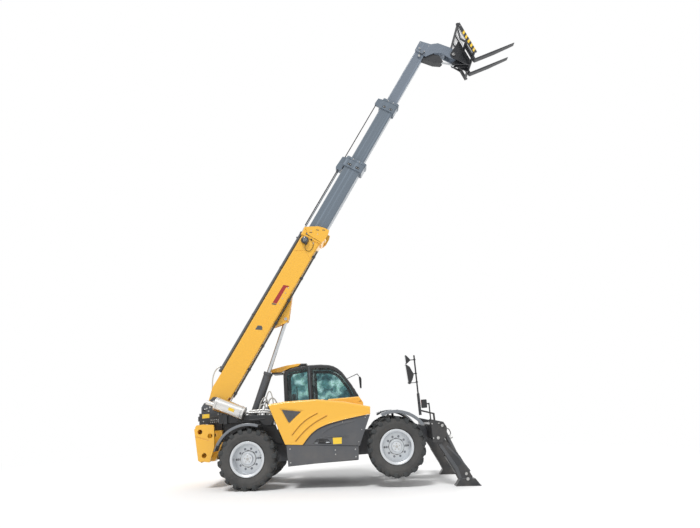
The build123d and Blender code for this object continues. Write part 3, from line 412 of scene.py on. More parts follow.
lamp_blue = solid_finish("lamp_blue_black", (0.035, 0.050, 0.068), 0.30, coat=0.4, edge=0.4)
label_yellow = solid_finish("label_yellow", (0.93, 0.62, 0.05), 0.42, edge=0.1, dust=0.15)
# Brown of the painted shadow lines under the hood's two pressed ridges
seam_brown = solid_finish("seam_brown", (0.52, 0.24, 0.018), 0.6, edge=0.1, dust=0.3)
nut_metal = solid_finish("nut_metal", (0.20, 0.22, 0.25), 0.4, metallic=0.6, edge=0.5, edge_width=0.003)
band_red = solid_finish("band_red", (0.36, 0.022, 0.022), 0.38, coat=0.2, edge=0.1, dust=0.05)
pale_wrap = solid_finish("pale_hose_guard", (0.55, 0.55, 0.53), 0.55, edge=0.2, fine=120.0, bump=0.3,
                         dust=0.25)
print(len(bpy.data.materials), "materials so far")

# %% Roof: the yellow visor at its rear turns into the black roof at a slanted line
line_slant, line_place, line_sharpness = -1.1, 4.60, 400.0
roof_finish, tree, shader = new_material("roof_paint", Roughness=0.33, Coat_Weight=0.4)
axes = add_node(tree, "SeparateXYZ", Vector=object_place(tree)).outputs
past = math_node(tree, "ADD", axes["X"], math_node(tree, "MULTIPLY", axes["Z"], line_slant))
black_part = math_node(tree, "MULTIPLY", math_node(tree, "ADD", past, line_place), line_sharpness, clamp=True)
tone = use_group(tree, grain, Fine=420.0)["Tone"]
rubbed = use_group(tree, edge_wear, Width=0.008)
visor = mix_colours(tree, tone, visor_yellow, (0.84, 0.44, 0.036))
visor = mix_colours(tree, math_node(tree, "MULTIPLY", rubbed["Mask"], 0.25), visor, bare_yellow)
feed(tree, shader, Base_Color=mix_colours(tree, black_part, visor, (0.030, 0.032, 0.036)),
     Normal=rubbed["Normal"])
print("roof paint turns black ahead of a slanted line")

# %% Chrome rods, heat-shield steel and mirror faces


def polished_metal(name, colour, roughness, along, across, dent, dent_scale):
    """Bare metal with drawn streaks and shallow dents."""
    material, tree, shader = new_material(name, Metallic=1.0)
    drawn = use_group(tree, streaks, Along=along, Across=across)["Mask"]
    rough = math_node(tree, "ADD", math_node(tree, "MULTIPLY", drawn, 0.22), roughness)
    feed(tree, shader, Base_Color=mix_colours(tree, drawn, colour, shade(colour, 0.72)), Roughness=rough)
    add_relief(tree, shader, use_group(tree, grain, Fine=dent_scale)["Height"], dent)
    return material


chrome = polished_metal("chrome_rod", (0.62, 0.64, 0.66), 0.10, 1.0, 25.0, 0.0001, 60.0)
heat_shield = polished_metal("heat_shield_steel", (0.80, 0.79, 0.77), 0.14, 3.0, 9.0, 0.006, 3.2)
mirror_face = polished_metal("mirror_face", (0.78, 0.80, 0.82), 0.02, 1.0, 2.0, 0.00002, 20.0)
print("bare metals made")

# %% Rubber: matt, with pale dust in the hollows and scuffed edges


def rubber_finish(name, colour, dust):
    material, tree, shader = new_material(name, Roughness=0.78)
    grains = use_group(tree, grain, Fine=240.0, Broad=5.0)
    dusty = use_group(tree, settled_dust, Scale=3.0, Low=0.0, High=2.6)["Mask"]
    wear = use_group(tree, edge_wear, Width=0.010, Break_Up=30.0)
    base = mix_colours(tree, grains["Tone"], colour, shade(colour, 0.6))
    dusted = math_node(tree, "MULTIPLY", dusty, dust, clamp=True)
    base = mix_colours(tree, dusted, base, (0.125, 0.120, 0.112))
    scuffed = math_node(tree, "MULTIPLY", wear["Mask"], 0.30, clamp=True)
    feed(tree, shader, Base_Color=mix_colours(tree, scuffed, base, (0.17, 0.165, 0.155)))
    add_relief(tree, shader, grains["Height"], 0.0008, Normal=wear["Normal"])
    return material


tyre_rubber = rubber_finish("tyre_rubber", (0.044, 0.049, 0.052), 0.35)
wall_rubber = rubber_finish("tyre_wall_rubber", (0.062, 0.062, 0.062), 0.75)
hose_rubber = rubber_finish("hose_rubber", (0.018, 0.018, 0.019), 0.10)
print("rubbers made")

# %% Lenses and cab glass
glass_ior = 1.45


def lens_finish(name, colour, roughness, transmission):
    """A lens: the cast of its colour drifts a little, and a film of dust dulls it."""
    material, tree, shader = new_material(name, Transmission_Weight=transmission, IOR=glass_ior)
    film = use_group(tree, grain, Broad=1.1, Fine=30.0)["Tone"]
    rough = math_node(tree, "ADD", math_node(tree, "MULTIPLY", film, 0.03), roughness)
    feed(tree, shader, Base_Color=mix_colours(tree, film, colour, shade(colour, 0.88)), Roughness=rough)
    return material


def pane_finish(name):
    """Tinted cab glass with painted reflections: soft patches from dark teal to pale aqua stand for trees and
    sky seen in it.
    """
    material, tree, shader = new_material(name, Roughness=0.02, Transmission_Weight=1.0, IOR=glass_ior)
    broad = object_noise(tree, 2.6, 2.0, distortion=0.8)
    small = object_noise(tree, 17.0, 3.0, 0.6)
    patches = add_node(tree, "MapRange", Value=broad, From_Min=0.46, From_Max=0.56).outputs[0]
    reflected_leaves = add_node(tree, "MapRange", Value=small, From_Min=0.45, From_Max=0.62, To_Max=0.8).outputs[0]
    # Painted reflection: pale aqua patches for sky and green flecks for leaves, over the dark teal tint
    tint_and_painted_sky = mix_colours(tree, patches, (0.10, 0.24, 0.26), (0.66, 0.84, 0.84))
    painted_leaf_reflections = math_node(tree, "MULTIPLY", reflected_leaves, patches)
    feed(tree, shader, Base_Color=mix_colours(tree, painted_leaf_reflections, tint_and_painted_sky, (0.26, 0.50, 0.40)))
    add_relief(tree, shader, broad, 0.0005, strength=0.3)
    return material


glass = pane_finish("cab_glass")
lens = lens_finish("lamp_lens", (0.92, 0.94, 0.95), 0.05, 0.85)
red_lens = lens_finish("red_lens", (0.65, 0.02, 0.015), 0.12, 0.35)
amber_lens = lens_finish("amber_lens", (0.85, 0.28, 0.02), 0.12, 0.35)
print("glass and lenses made, index of refraction", glass_ior)

# %% Seat cloth: two crossed sets of threads, with a soft sheen
cloth_colour = (0.045, 0.047, 0.052)
seat_cloth, tree, shader = new_material("seat_cloth", Roughness=0.9, Sheen_Weight=0.3)
threads = [add_node(tree, "TexWave", {"bands_direction": direction}, Vector=object_place(tree), Scale=260.0,
                    Distortion=0.4).outputs["Fac"] for direction in ("X", "Y")]
weave = math_node(tree, "MULTIPLY", *threads)
feed(tree, shader, Base_Color=mix_colours(tree, weave, shade(cloth_colour, 0.55), shade(cloth_colour, 1.5)))
add_relief(tree, shader, weave, 0.0006, strength=0.5)
print(len(bpy.data.materials), "materials")

# %% [markdown]
# ## Dress the CAD nodes
# The CAD pieces whose shape is right stay as they are. Each only gets its finish, by the kind of piece it is,
# whichever side or end it stands on.

# %% Finishes of the CAD nodes
finish_of = {}
for finish, kinds in (
        (charcoal, "frame engine_bay fuel_tank lift_barrel"), (yellow, "counterweight boom_base hood"),
        (iron, "axle engine knuckle"), (heat_shield, "exhaust"), (glass, "cab_glass door_glass"),
        (black_paint, "cab_shell cab_door stabilizer_frame stabilizer_leg panel fork_carriage forks"),
        (roof_finish, "cab_roof"), (plastic, "cab_seat cab_controls mirrors lamp boom_lamp"),
        (dark_paint, "pipe_tray tilt_barrel stabilizer_barrel"), (barrel_grey, "extension_barrel"),
        (boom_grey, "boom_section_2 boom_section_3"), (head_grey, "boom_section_4"),
        (chrome, "extension_rod lift_rod tilt_rod stabilizer_rod"), (hose_rubber, "hose_tube"),
        (rim_silver, "rim"), (tyre_rubber, "tyre"), (fender_plastic, "fender")):
    finish_of.update(dict.fromkeys(kinds.split(), finish))
for name, node in nodes.items():
    kind = "_".join(word for word in name.split("_") if word not in ("left", "right", "front", "rear"))
    node.data.materials.clear()
    node.data.materials.append(finish_of[kind])
print(len(nodes), "nodes dressed,", sum(len(n.data.polygons) for n in nodes.values()), "faces")

# %% [markdown]
# ## Helpers for the added pieces
# Each added piece is drawn as a mesh in the frame that suits it: level machine, boom, carriage or one wheel.
# The helpers add plates, bars, bolts and rings to one open mesh, called form. When a piece is complete,
# show() moves what is drawn to its place, softens its edges, gives it a finish, lets it ride on its CAD body
# and clears the form for the next piece. Pipes and hoses are smooth curves with a round section, because a
# bent hose is never a chain of straight bars.

# %% Plates and blocks
form = bmesh.new()


def join(a, b):
    """Faces between two closed rows of points."""
    for i in range(len(a)):
        j = (i + 1) % len(a)
        form.faces.new((a[i], a[j], b[j], b[i]))


def add_plate(outline, across):
    """An (x, z) outline with thickness: it fills the space between two y values."""
    near = [form.verts.new((x, min(across), z)) for x, z in outline]
    far = [form.verts.new((x, max(across), z)) for x, z in outline]
    form.faces.new(near)
    form.faces.new(far[::-1])
    join(far, near)


def add_block(x, y, z):
    add_plate([(x[0], z[0]), (x[1], z[0]), (x[1], z[1]), (x[0], z[1])], y)


print("helpers: join, add_plate, add_block")

# %% Rods, rings, bolts and pins
sideways = Vector((0, 1, 0))


def around(count, start=0.0):
    """Evenly spaced angles of a whole turn."""
    return [2 * math.pi * (k + start) / count for k in range(count)]


def add_rod(start, end, radius, sides=16, end_radius=None):
    """A round or many-sided bar; with end_radius it tapers."""
    start, end = Vector(start), Vector(end)
    along = end - start
    place = Matrix.Translation((start + end) / 2) @ along.to_track_quat("Z", "Y").to_matrix().to_4x4()
    end_radius = radius if end_radius is None else end_radius
    bmesh.ops.create_cone(form, cap_ends=True, segments=sides, radius1=radius, radius2=end_radius,
                          depth=along.length, matrix=place)


def add_ring(start, end, inner, outer, sides=32):
    """A round band with a hole through it, from one point to the other."""
    start, end = Vector(start), Vector(end)
    turn = (end - start).to_track_quat("Z", "Y")
    rows = []
    for centre, radius in ((start, inner), (start, outer), (end, outer), (end, inner)):
        rows.append([form.verts.new(centre + turn @ Vector((radius * math.cos(a), radius * math.sin(a), 0)))
                     for a in around(sides)])
    for a, b in zip(rows, rows[1:] + rows[:1]):
        join(a, b)


def add_bolt(place, axis, size):
    """A hexagon head on its washer, standing on a face; size is half the head's width."""
    place, axis = Vector(place), Vector(axis).normalized()
    add_rod(place - axis * size * 0.2, place + axis * size * 0.25, size * 1.4)
    add_rod(place + axis * size * 0.25, place + axis * size, size * 1.15, 6)


def side_bolts(points, y, size):
    """A bolt at each (x, z), on a face that looks away from the middle plane."""
    for x, z in points:
        add_bolt((x, y, z), sideways * math.copysign(1, y), size)


def add_pin_end(place, axis, radius):
    """The end of a pivot pin: a round cap, a keeper bar across it and the keeper's two bolts."""
    place, axis = Vector(place), Vector(axis).normalized()
    flat = Vector((0.8, 0, 0.6))
    add_rod(place, place + axis * 0.012, radius, 32)
    keeper = Matrix.Translation(place + axis * 0.016) @ flat.to_track_quat("X", "Y").to_matrix().to_4x4()
    keeper = keeper @ Matrix.Diagonal((radius * 1.9, 0.008, radius * 0.5, 1))
    bmesh.ops.create_cube(form, size=1.0, matrix=keeper)
    for end in (-1, 1):
        add_bolt(place + axis * 0.020 + flat * end * radius * 0.68, axis, 0.009)


print("helpers: around, add_rod, add_ring, add_bolt, side_bolts, add_pin_end")

# %% Seals and turned rings


def drawn_in(outline, width):
    """The same (x, z) outline, drawn in by a width."""
    area = sum(a[0] * b[1] - b[0] * a[1] for a, b in zip(outline, outline[1:] + outline[:1]))
    turn = 1 if area > 0 else -1
    result = []
    for i, here in enumerate(outline):
        before = (Vector(here) - Vector(outline[i - 1])).normalized()
        after = (Vector(outline[(i + 1) % len(outline)]) - Vector(here)).normalized()
        from_before = Vector((-before.y, before.x)) * turn
        from_after = Vector((-after.y, after.x)) * turn
        corner = (from_before + from_after).normalized()
        reach = width / max(0.3, corner.dot(from_after))
        result.append(tuple(Vector(here) + corner * reach))
    return result


def add_seal(outline, width, across):
    """A flat ring that follows an (x, z) outline, width wide towards its inside."""
    inner = drawn_in(outline, width)
    rows = []
    for points, y in ((outline, across[0]), (inner, across[0]), (inner, across[1]), (outline, across[1])):
        rows.append([form.verts.new((x, y, z)) for x, z in points])
    for a, b in zip(rows, rows[1:] + rows[:1]):
        join(a, b)


def add_lathe(profile, segments):
    """A closed ring about the wheel's axle through (radius, y) points."""
    rows = [[form.verts.new((r * math.sin(a), y, r * math.cos(a))) for r, y in profile]
            for a in around(segments)]
    for a, b in zip(rows, rows[1:] + rows[:1]):
        join(a, b)


print("helpers: drawn_in, add_seal, add_lathe")

# %% Show a piece
for slot, finishes in (("steel", "zinc_bolts nut_metal tray_pipe heat_shield_steel"),
                       ("tyre", "tyre_rubber tyre_wall_rubber"),
                       ("black_plastic", "hose_rubber pale_hose_guard lamp_blue_black"),
                       ("glass", "lamp_lens red_lens amber_lens mirror_face"),
                       ("yellow_paint", "label_yellow seam_brown band_red")):
    dict.fromkeys(finishes.split(), slot)


def put_in_scene(name, data, finish, body):
    """The object of a mesh or curve, with its finish and the body that it rides on."""
    data.materials.append(finish)
    piece = bpy.data.objects.new(name, data)
    scene.collection.objects.link(piece)
    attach(piece, body)
    return piece


def show(name, finish, place=machine, body="chassis", bevel=0.001, smooth=38):
    """The form becomes a piece: moved to its place, shaded, with soft edges, riding on its body."""
    bmesh.ops.transform(form, matrix=place, verts=form.verts)
    bmesh.ops.recalc_face_normals(form, faces=form.faces)
    mesh = bpy.data.meshes.new(name)
    form.to_mesh(mesh)
    form.clear()
    for face in mesh.polygons:
        face.use_smooth = True
    mesh.set_sharp_from_angle(angle=math.radians(smooth))
    piece = put_in_scene(name, mesh, finish, body)
    if bevel:
        soft = piece.modifiers.new("soft edges", "BEVEL")
        soft.width = bevel
        soft.segments = 2
        soft.limit_method = "ANGLE"
        soft.angle_limit = math.radians(smooth)
    print(name, len(mesh.polygons), "faces")
    return piece


# %% Pipes and hoses


def pipes(name, lines, diameter, finish, place=machine, body="chassis"):
    """Smooth round lines, each given by its points in the frame of place."""
    curve = bpy.data.curves.new(name, "CURVE")
    curve.dimensions = "3D"
    curve.bevel_depth = diameter / 2
    curve.bevel_resolution = 3
    curve.resolution_u = 8
    curve.use_fill_caps = True
    for points in lines:
        spline = curve.splines.new("NURBS")
        spline.points.add(len(points) - 1)
        for point, where in zip(spline.points, points):
            point.co = (*(place @ Vector(where)), 1)
        spline.order_u = 3
        spline.use_endpoint_u = True
    print(name, [round(s.calc_length(), 3) for s in curve.splines], "m long")
    return put_in_scene(name, curve, finish, body)


def hose(name, points, diameter, finish, place=machine, body="chassis"):
    """A rubber hose between two fittings: it goes back into the machine at its far end."""
    piece = pipes(name, [points], diameter, finish, place, body)
    for end, inner in ((points[0], points[1]), (points[-1], points[-2])):
        end, inner = Vector(end), Vector(inner)
        along = (inner - end).normalized()
        add_rod(end - along * diameter * 0.4, end + along * diameter * 0.8, diameter * 0.85, 6)
        add_rod(end + along * diameter * 0.8, end + along * diameter * 2.4, diameter * 0.66)
    show(name + "_fittings", zinc, place, body)


print("helpers: pipes, hose")

# %% [markdown]
# ## Tyres
# A tyre of this kind has thick bars that lean away from the middle of the tread, on each side in turn, and
# run over the shoulder onto the sidewall. The carcass is a profile turned about the axle, with two thin rings
# on its side. Each bar is drawn station by station from the middle to the sidewall, and its edges are rounded
# with a bevel. The bars stand where those of the CAD tyre stand, so the wheel touches the ground with the
# same bar. Carcass and bars are two pieces, because the dusty sidewall is paler than the worn bars.

# %% Tyre carcass and tread bars
lug_count = 18
lug_lean = math.tan(math.radians(24))
foot_width = 0.011
contact_angle = 270 - math.degrees(nose_up)
sidewall = [(0.316, 0.130), (0.337, 0.144), (0.351, 0.158), (0.361, 0.171), (0.369, 0.179), (0.376, 0.178),
            (0.383, 0.182), (0.410, 0.191), (0.442, 0.1962), (0.449, 0.1985), (0.457, 0.1985),
            (0.464, 0.1962), (0.490, 0.194), (0.516, 0.187), (0.536, 0.173), (0.549, 0.152),
            (0.555, 0.120), (0.558, 0.060)]
carcass = sidewall + [(0.559, 0.0)] + [(r, -y) for r, y in reversed(sidewall)]
# Each station: radius and y of the bar's top, radius and y of its foot, half of its width
lug_stations = [(0.5860, 0.006, 0.550, 0.010, 0.028), (0.5935, 0.022, 0.548, 0.022, 0.034),
                (0.5945, 0.070, 0.546, 0.070, 0.036), (0.5945, 0.120, 0.544, 0.120, 0.037),
                (0.5930, 0.160, 0.540, 0.155, 0.038), (0.5850, 0.183, 0.530, 0.168, 0.038),
                (0.5650, 0.1955, 0.515, 0.178, 0.037), (0.5350, 0.1995, 0.500, 0.184, 0.034),
                (0.5050, 0.1985, 0.488, 0.186, 0.028)]


def add_lug(turn, side):
    """One tread bar, whose middle stands at a turn from the top of the wheel."""
    rows = []
    for top_r, top_y, foot_r, foot_y, half in lug_stations:
        lean = (min(top_y, 0.185) - 0.1) * lug_lean
        section = [(foot_r, foot_y, -half - foot_width), (top_r, top_y, -half), (top_r, top_y, 0),
                   (top_r, top_y, half), (foot_r, foot_y, half + foot_width)]
        rows.append([])
        for r, y, offset in section:
            a = turn + (lean + offset) / r
            rows[-1].append(form.verts.new((r * math.sin(a), side * y, r * math.cos(a))))
    for a, b in zip(rows, rows[1:]):
        join(a, b)
    form.faces.new(rows[0])
    form.faces.new(rows[-1][::-1])


wheel_place = {}
for name, hub in hubs.items():
    outward = 1 if hub.y > 0 else -1
    wheel_place[name] = (Matrix.Translation(hub) @ Matrix.Rotation(-nose_up, 4, "Y")
                         @ Matrix.Diagonal((1, outward, 1, 1)))
    add_lathe(carcass, 108)
    wall = show("tyre_wall_" + name, wall_rubber, wheel_place[name], "wheel_" + name, bevel=0)
    for k in range(lug_count):
        for side, offset in ((1, 0.0), (-1, 180.0 / lug_count)):
            add_lug(math.radians(90 - contact_angle - offset - k * 360.0 / lug_count), side)
    show("tyre_lugs_" + name, tyre_rubber, wheel_place[name], "wheel_" + name, bevel=0.005)
    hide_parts("tyre_" + name)

# %% [markdown]
# ## Wheel hardware
# The rim is a deep silver dish. A ring of nuts holds it to the hub, a thin dark joint shows round the hub
# plate, and the hub plate itself is held by smaller bolts. A valve stands in the dish.

# %% Nuts, hub bolts and valve
nut_circle, hub_circle = 0.197, 0.060
rim_edge = [(0.3365, 0.158), (0.343, 0.166), (0.343, 0.172), (0.334, 0.1755), (0.322, 0.172), (0.322, 0.166)]
for name, place in wheel_place.items():
    wheel = "wheel_" + name
    for a in around(10, 0.5):
        add_bolt((nut_circle * math.sin(a), 0.012, nut_circle * math.cos(a)), sideways, 0.0165)
    show("wheel_nuts_" + name, nut_metal, place, wheel, bevel=0.0015)
    for a in around(5):
        add_bolt((hub_circle * math.sin(a), 0.109, hub_circle * math.cos(a)), sideways, 0.0105)
    add_rod((0, 0.108, 0), (0, 0.120, 0), 0.028, 24)
    add_rod((0.255, 0.030, 0.05), (0.240, 0.085, 0.047), 0.006, 10)
    add_rod((0.242, 0.075, 0.0474), (0.238, 0.095, 0.0466), 0.009, 10)
    show("hub_bolts_" + name, zinc, place, wheel, bevel=0.0015)
    add_rod((0, 0.014, 0), (0, 0.0225, 0), 0.170, 8)
    for x in (-0.236, 0.236):
        add_rod((x, 0.002, 0), (x, 0.0085, 0), 0.021, 24)
    show("hub_joint_" + name, dark_paint, place, wheel)
    add_lathe(rim_edge, 96)
    show("rim_edge_" + name, rim_silver, place, wheel, bevel=0)

# %% [markdown]
# ## Hood and engine side
# The hood's triangular intake is closed by a dark slatted grille. The hood's lip and its two pressed ridges
# are rolled, with a painted shadow line under each: a thin dark pipe that stands for the shade below the
# edge.
# Below the hood the charcoal panel has a recessed handle with a latch, a blank yellow plate and small
# fasteners.

# %% Intake grille


def at_height(a, b, z):
    """The x at which the line through two (x, z) points reaches a height."""
    return a[0] + (z - a[1]) * (b[0] - a[0]) / (b[1] - a[1])


rear_top, front_top, low_corner = (0.722, 1.496), (1.112, 1.427), (0.862, 1.222)
slat_pitch, slat_height, slat_gap = 0.021, 0.007, 0.012
add_plate([rear_top, front_top, low_corner], (-1.0835, -1.0785))
add_seal([rear_top, front_top, low_corner], 0.016, (-1.0885, -1.0830))
for step in range(2, 12):
    z = low_corner[1] + step * slat_pitch
    rear = at_height(low_corner, rear_top, z) + slat_gap
    front = at_height(low_corner if z <= front_top[1] else rear_top, front_top, z) - slat_gap
    if front - rear > 0.04 - 2 * slat_gap:
        add_block((rear, front), (-1.0890, -1.0830), (z, z + slat_height))
show("hood_grille", charcoal, body="hood")

# %% Rolled edges of the hood: along the lip, and under the two pressed ridges, each with a painted shadow line below
lip = [(1.114, 0.776), (1.220, 0.909), (1.370, 1.034), (1.551, 1.118), (1.850, 1.184), (2.180, 1.232),
       (2.510, 1.270)]
ridges = [[(0.905, 0.993), (1.025, 1.130), (1.162, 1.243), (1.300, 1.322), (1.444, 1.381)],
          [(0.967, 0.868), (1.110, 1.015), (1.273, 1.141), (1.450, 1.240), (1.636, 1.318)]]
pipes("hood_lip_edge", [[(x, -1.111, z + 0.007) for x, z in lip]], 0.016, yellow, body="hood")
pipes("hood_ridge_edges", [[(x, -1.109, z) for x, z in ridge] for ridge in ridges], 0.014, yellow,
      body="hood")
# Painted shadow: a dark brown line just below each ridge stands for the shade under its rolled edge
pipes("hood_ridge_painted_shadows", [[(x + 0.013, -1.1005, z - 0.013) for x, z in ridge] for ridge in ridges], 0.017,
      seam_brown, body="hood")
# Painted shadow: a thin black line just below the lip stands for the shade under it
pipes("hood_lip_painted_shadow", [[(x + 0.010, -1.0965, z - 0.016) for x, z in lip[:-1]]], 0.010, plastic)
pipes("panel_creases", [[(1.440, -1.096, 0.874), (1.560, -1.099, 0.892), (1.760, -1.099, 0.892),
                         (2.040, -1.096, 0.872)]], 0.018, charcoal)

# %% Side panel: latch, fasteners and blank plate
panel = -1.096
add_plate([(1.440, 0.795), (1.452, 0.838), (1.560, 0.832), (1.572, 0.790)], (panel - 0.006, panel + 0.020))
add_block((1.475, 1.540), (panel - 0.014, panel), (0.800, 0.812))
add_seal([(1.326, 0.786), (1.408, 0.868), (1.628, 0.852), (1.702, 0.751)], 0.010,
         (panel - 0.003, panel + 0.002))
show("side_latch", plastic, bevel=0.0015)
for x in ((1.345, 1.425), (1.590, 1.672)):
    add_block(x, (panel + 0.004, panel + 0.021), (0.779, 0.796))
show("side_vents", rim_silver, bevel=0.002)
side_bolts([(1.767, 0.630), (1.767, 0.548), (0.86, 0.72), (0.86, 0.46), (2.17, 0.61), (2.17, 0.47)], -1.106,
           0.0095)
side_bolts([(2.42, 1.215), (2.33, 0.98), (2.25, 0.75), (1.95, 1.155)], panel, 0.0065)
show("side_bolts", zinc)
add_plate([(1.731, 0.868), (1.913, 0.861), (1.905, 0.740), (1.731, 0.742)], (panel - 0.0015, panel + 0.001))
add_block((-1.085, -0.930), (-0.402, -0.399), (1.455, 1.540))
show("blank_plates", label_yellow, bevel=0.0005)

# %% [markdown]
# ## Cab: seals, wiper, handle and rails
# Each pane sits in a black rubber seal. The front has a wiper, the door a handle and a lock, and a grab rail
# helps the driver up. A pale strip marks the middle pillar, and vent slats show low on the rear wall.

# %% Window seals
quarter_pane = [(0.700, 1.640), (0.700, 2.260), (0.760, 2.350), (1.190, 2.400), (1.190, 1.640)]
front_pane = [(1.270, 1.640), (1.270, 2.400), (1.700, 2.370), (1.850, 2.290), (1.960, 2.200), (2.150, 1.920),
              (2.275, 1.640)]
door_panes = [
    [(1.340, 1.560), (1.340, 2.330), (1.690, 2.300), (1.810, 2.240), (1.910, 2.150), (2.085, 1.890),
     (2.225, 1.560)],
    [(1.340, 0.860), (1.340, 1.480), (2.235, 1.480), (2.260, 1.330), (2.170, 1.140), (2.105, 0.860)]]
for outline in (quarter_pane, front_pane):
    for across in ((0.2975, 0.319), (0.327, 0.336)):
        add_seal(outline, 0.009, across)
add_seal(quarter_pane, 0.010, (1.101, 1.1225))
show("window_seals", hose_rubber, bevel=0.003)
for outline in door_panes:
    add_seal(outline, 0.010, (1.099, 1.1225))
show("door_seals", hose_rubber, body="cab_door", bevel=0.003)

# %% Pillar strip, cab trim, wiper and rear vent
add_block((1.222, 1.234), (0.2955, 0.301), (1.60, 2.43))
show("pillar_strip", boom_grey, bevel=0.002)
add_rod((2.452, 0.62, 1.335), (2.478, 0.62, 1.350), 0.020)
add_rod((2.470, 0.62, 1.350), (2.322, 0.86, 1.745), 0.007, 10)
add_rod((2.378, 0.70, 1.600), (2.252, 0.99, 1.880), 0.008, 10)
for y in (0.46, 0.96):
    add_block((2.395, 2.418), (y - 0.03, y + 0.03), (1.285, 1.315))
add_block((0.335, 0.560), (0.40, 1.02), (2.342, 2.372))
for k in range(9):
    add_block((0.6105, 0.6225), (0.44, 0.98), (1.265 + k * 0.022, 1.275 + k * 0.022))
show("cab_fittings", plastic, bevel=0.003)

# %% Door handle and grab rail
add_block((2.085, 2.195), (1.119, 1.135), (1.506, 1.538))
add_block((2.100, 2.180), (1.135, 1.147), (1.517, 1.527))
add_rod((2.065, 1.120, 1.522), (2.065, 1.128, 1.522), 0.013)
show("door_handle", plastic, body="cab_door", bevel=0.003)
rail = [(1.118, 1.70), (1.160, 1.70), (1.165, 1.72), (1.165, 2.00), (1.160, 2.02), (1.118, 2.02)]
pipes("grab_rails", [[(0.84, y, z) for y, z in rail]], 0.026, black_paint)

# %% [markdown]
# ## Seat
# The driver's seat shows through the glass. It is real padding: a crowned cushion and a backrest whose sides
# pull in between the corners, each with two sewn channels. All are grown from a fine block by moving its
# points, with a rounding that keeps the face that rests on the seat frame flat.

# %% Padded cushion, backrest and headrest


def pad(name, size, centre, lean, channels):
    """A stuffed block: size is half of length, width and thickness; a lean turns its top side forward."""
    bmesh.ops.create_cube(form, size=2.0)
    bmesh.ops.subdivide_edges(form, edges=form.edges, cuts=15, use_grid_fill=True)
    for vert in form.verts:
        u, v, w = vert.co
        crown = (1 - abs(u) ** 3) * (1 - abs(v) ** 3)
        pull = 1 - 0.05 * (1 - u * u) * abs(v) ** 6 - 0.05 * (1 - v * v) * abs(u) ** 6
        round_off = 1 - 0.10 * abs(u) ** 8 * abs(w) ** 4 - 0.10 * abs(v) ** 8 * abs(w) ** 4
        sewn = max(math.exp(-((v - c) / 0.05) ** 2) for c in channels) if w > 0 and channels else 0.0
        lift = 0.72 + 0.28 * crown - 0.16 * sewn if w > 0 else 0.85
        vert.co = (u * size[0] * pull * round_off, v * size[1] * pull * round_off, w * size[2] * lift)
    place = Matrix.Translation(centre)
    if lean:
        place = place @ Matrix.Rotation(math.radians(lean), 4, "Y") @ Matrix.Rotation(math.pi, 4, "Z")
    piece = show(name, seat_cloth, machine @ place, bevel=0, smooth=80)
    piece.modifiers.new("even", "SUBSURF").levels = 1
    return piece


cushion = pad("seat_cushion", (0.24, 0.225, 0.062), (1.06, 0.71, 1.190), 0, (-0.42, 0.42))
pad("seat_backrest", (0.235, 0.205, 0.058), (0.830, 0.71, 1.470), 84, (-0.42, 0.42))
pad("seat_headrest", (0.085, 0.130, 0.046), (0.815, 0.71, 1.770), 86, ())
add_block((0.88, 1.22), (0.56, 0.86), (0.690, 0.720))
add_plate([(0.92, 0.72), (1.18, 0.72), (1.14, 1.10), (0.96, 1.10)], (0.60, 0.82))
add_block((0.84, 1.26), (0.50, 0.92), (1.095, 1.128))
for k in range(5):
    add_block((0.955, 1.145), (0.590, 0.830), (0.78 + k * 0.055, 0.80 + k * 0.055))
for y in (0.65, 0.77):
    add_rod((0.800, y, 1.66), (0.800, y, 1.74), 0.008)
for y in (0.475, 0.925):
    add_plate([(0.84, 1.33), (1.16, 1.345), (1.18, 1.375), (0.84, 1.385)], (y - 0.025, y + 0.025))
show("seat_base", plastic, bevel=0.006)
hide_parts("cab_seat")

# %% Levers and screen by the seat
add_rod((1.40, 0.41, 1.32), (1.43, 0.41, 1.47), 0.010)
add_rod((1.427, 0.41, 1.455), (1.438, 0.41, 1.53), 0.022, 16, 0.017)
add_rod((1.25, 0.41, 1.32), (1.26, 0.41, 1.40), 0.007)
add_rod((1.258, 0.41, 1.395), (1.262, 0.41, 1.425), 0.014)
add_plate([(1.900, 1.245), (1.925, 1.250), (1.975, 1.390), (1.955, 1.400)], (0.56, 0.86))
show("cab_levers", plastic, bevel=0.003)

# %% [markdown]
# ## Boom: red band, pads, pins and pipes
# The yellow base section carries a plain red band along its side. Every collar holds dark wear pads, set in
# pockets with two bolts each. Pins show their caps and keepers. Steel pipes run along the tray below the base
# section, held by clamps. On top the extension cylinder lies in dark bands, and a hose bends round its tail.

# %% Red band and dark end flash on both sides
skin = 0.0008
band = [(2.600, -0.105), (2.560, 0.030), (3.050, 0.018), (3.090, -0.110)]
flashes = [[(1.905, -0.108), (1.830, 0.070), (1.940, 0.062), (1.975, -0.020)],
           [(2.560, -0.106), (2.518, 0.032), (2.552, 0.030), (2.592, -0.105)],
           [(1.905, -0.116), (3.080, -0.121), (3.081, -0.125), (1.905, -0.121)]]
for hand, y in (("right", -0.1755), ("left", 0.1755)):
    add_plate(band, (y - skin, y + skin))
    show("boom_band_" + hand, band_red, boom, "boom_base", bevel=0)
    for outline in flashes:
        add_plate(outline, (y - skin, y + skin))
    show("boom_flash_" + hand, charcoal, boom, "boom_base", bevel=0)

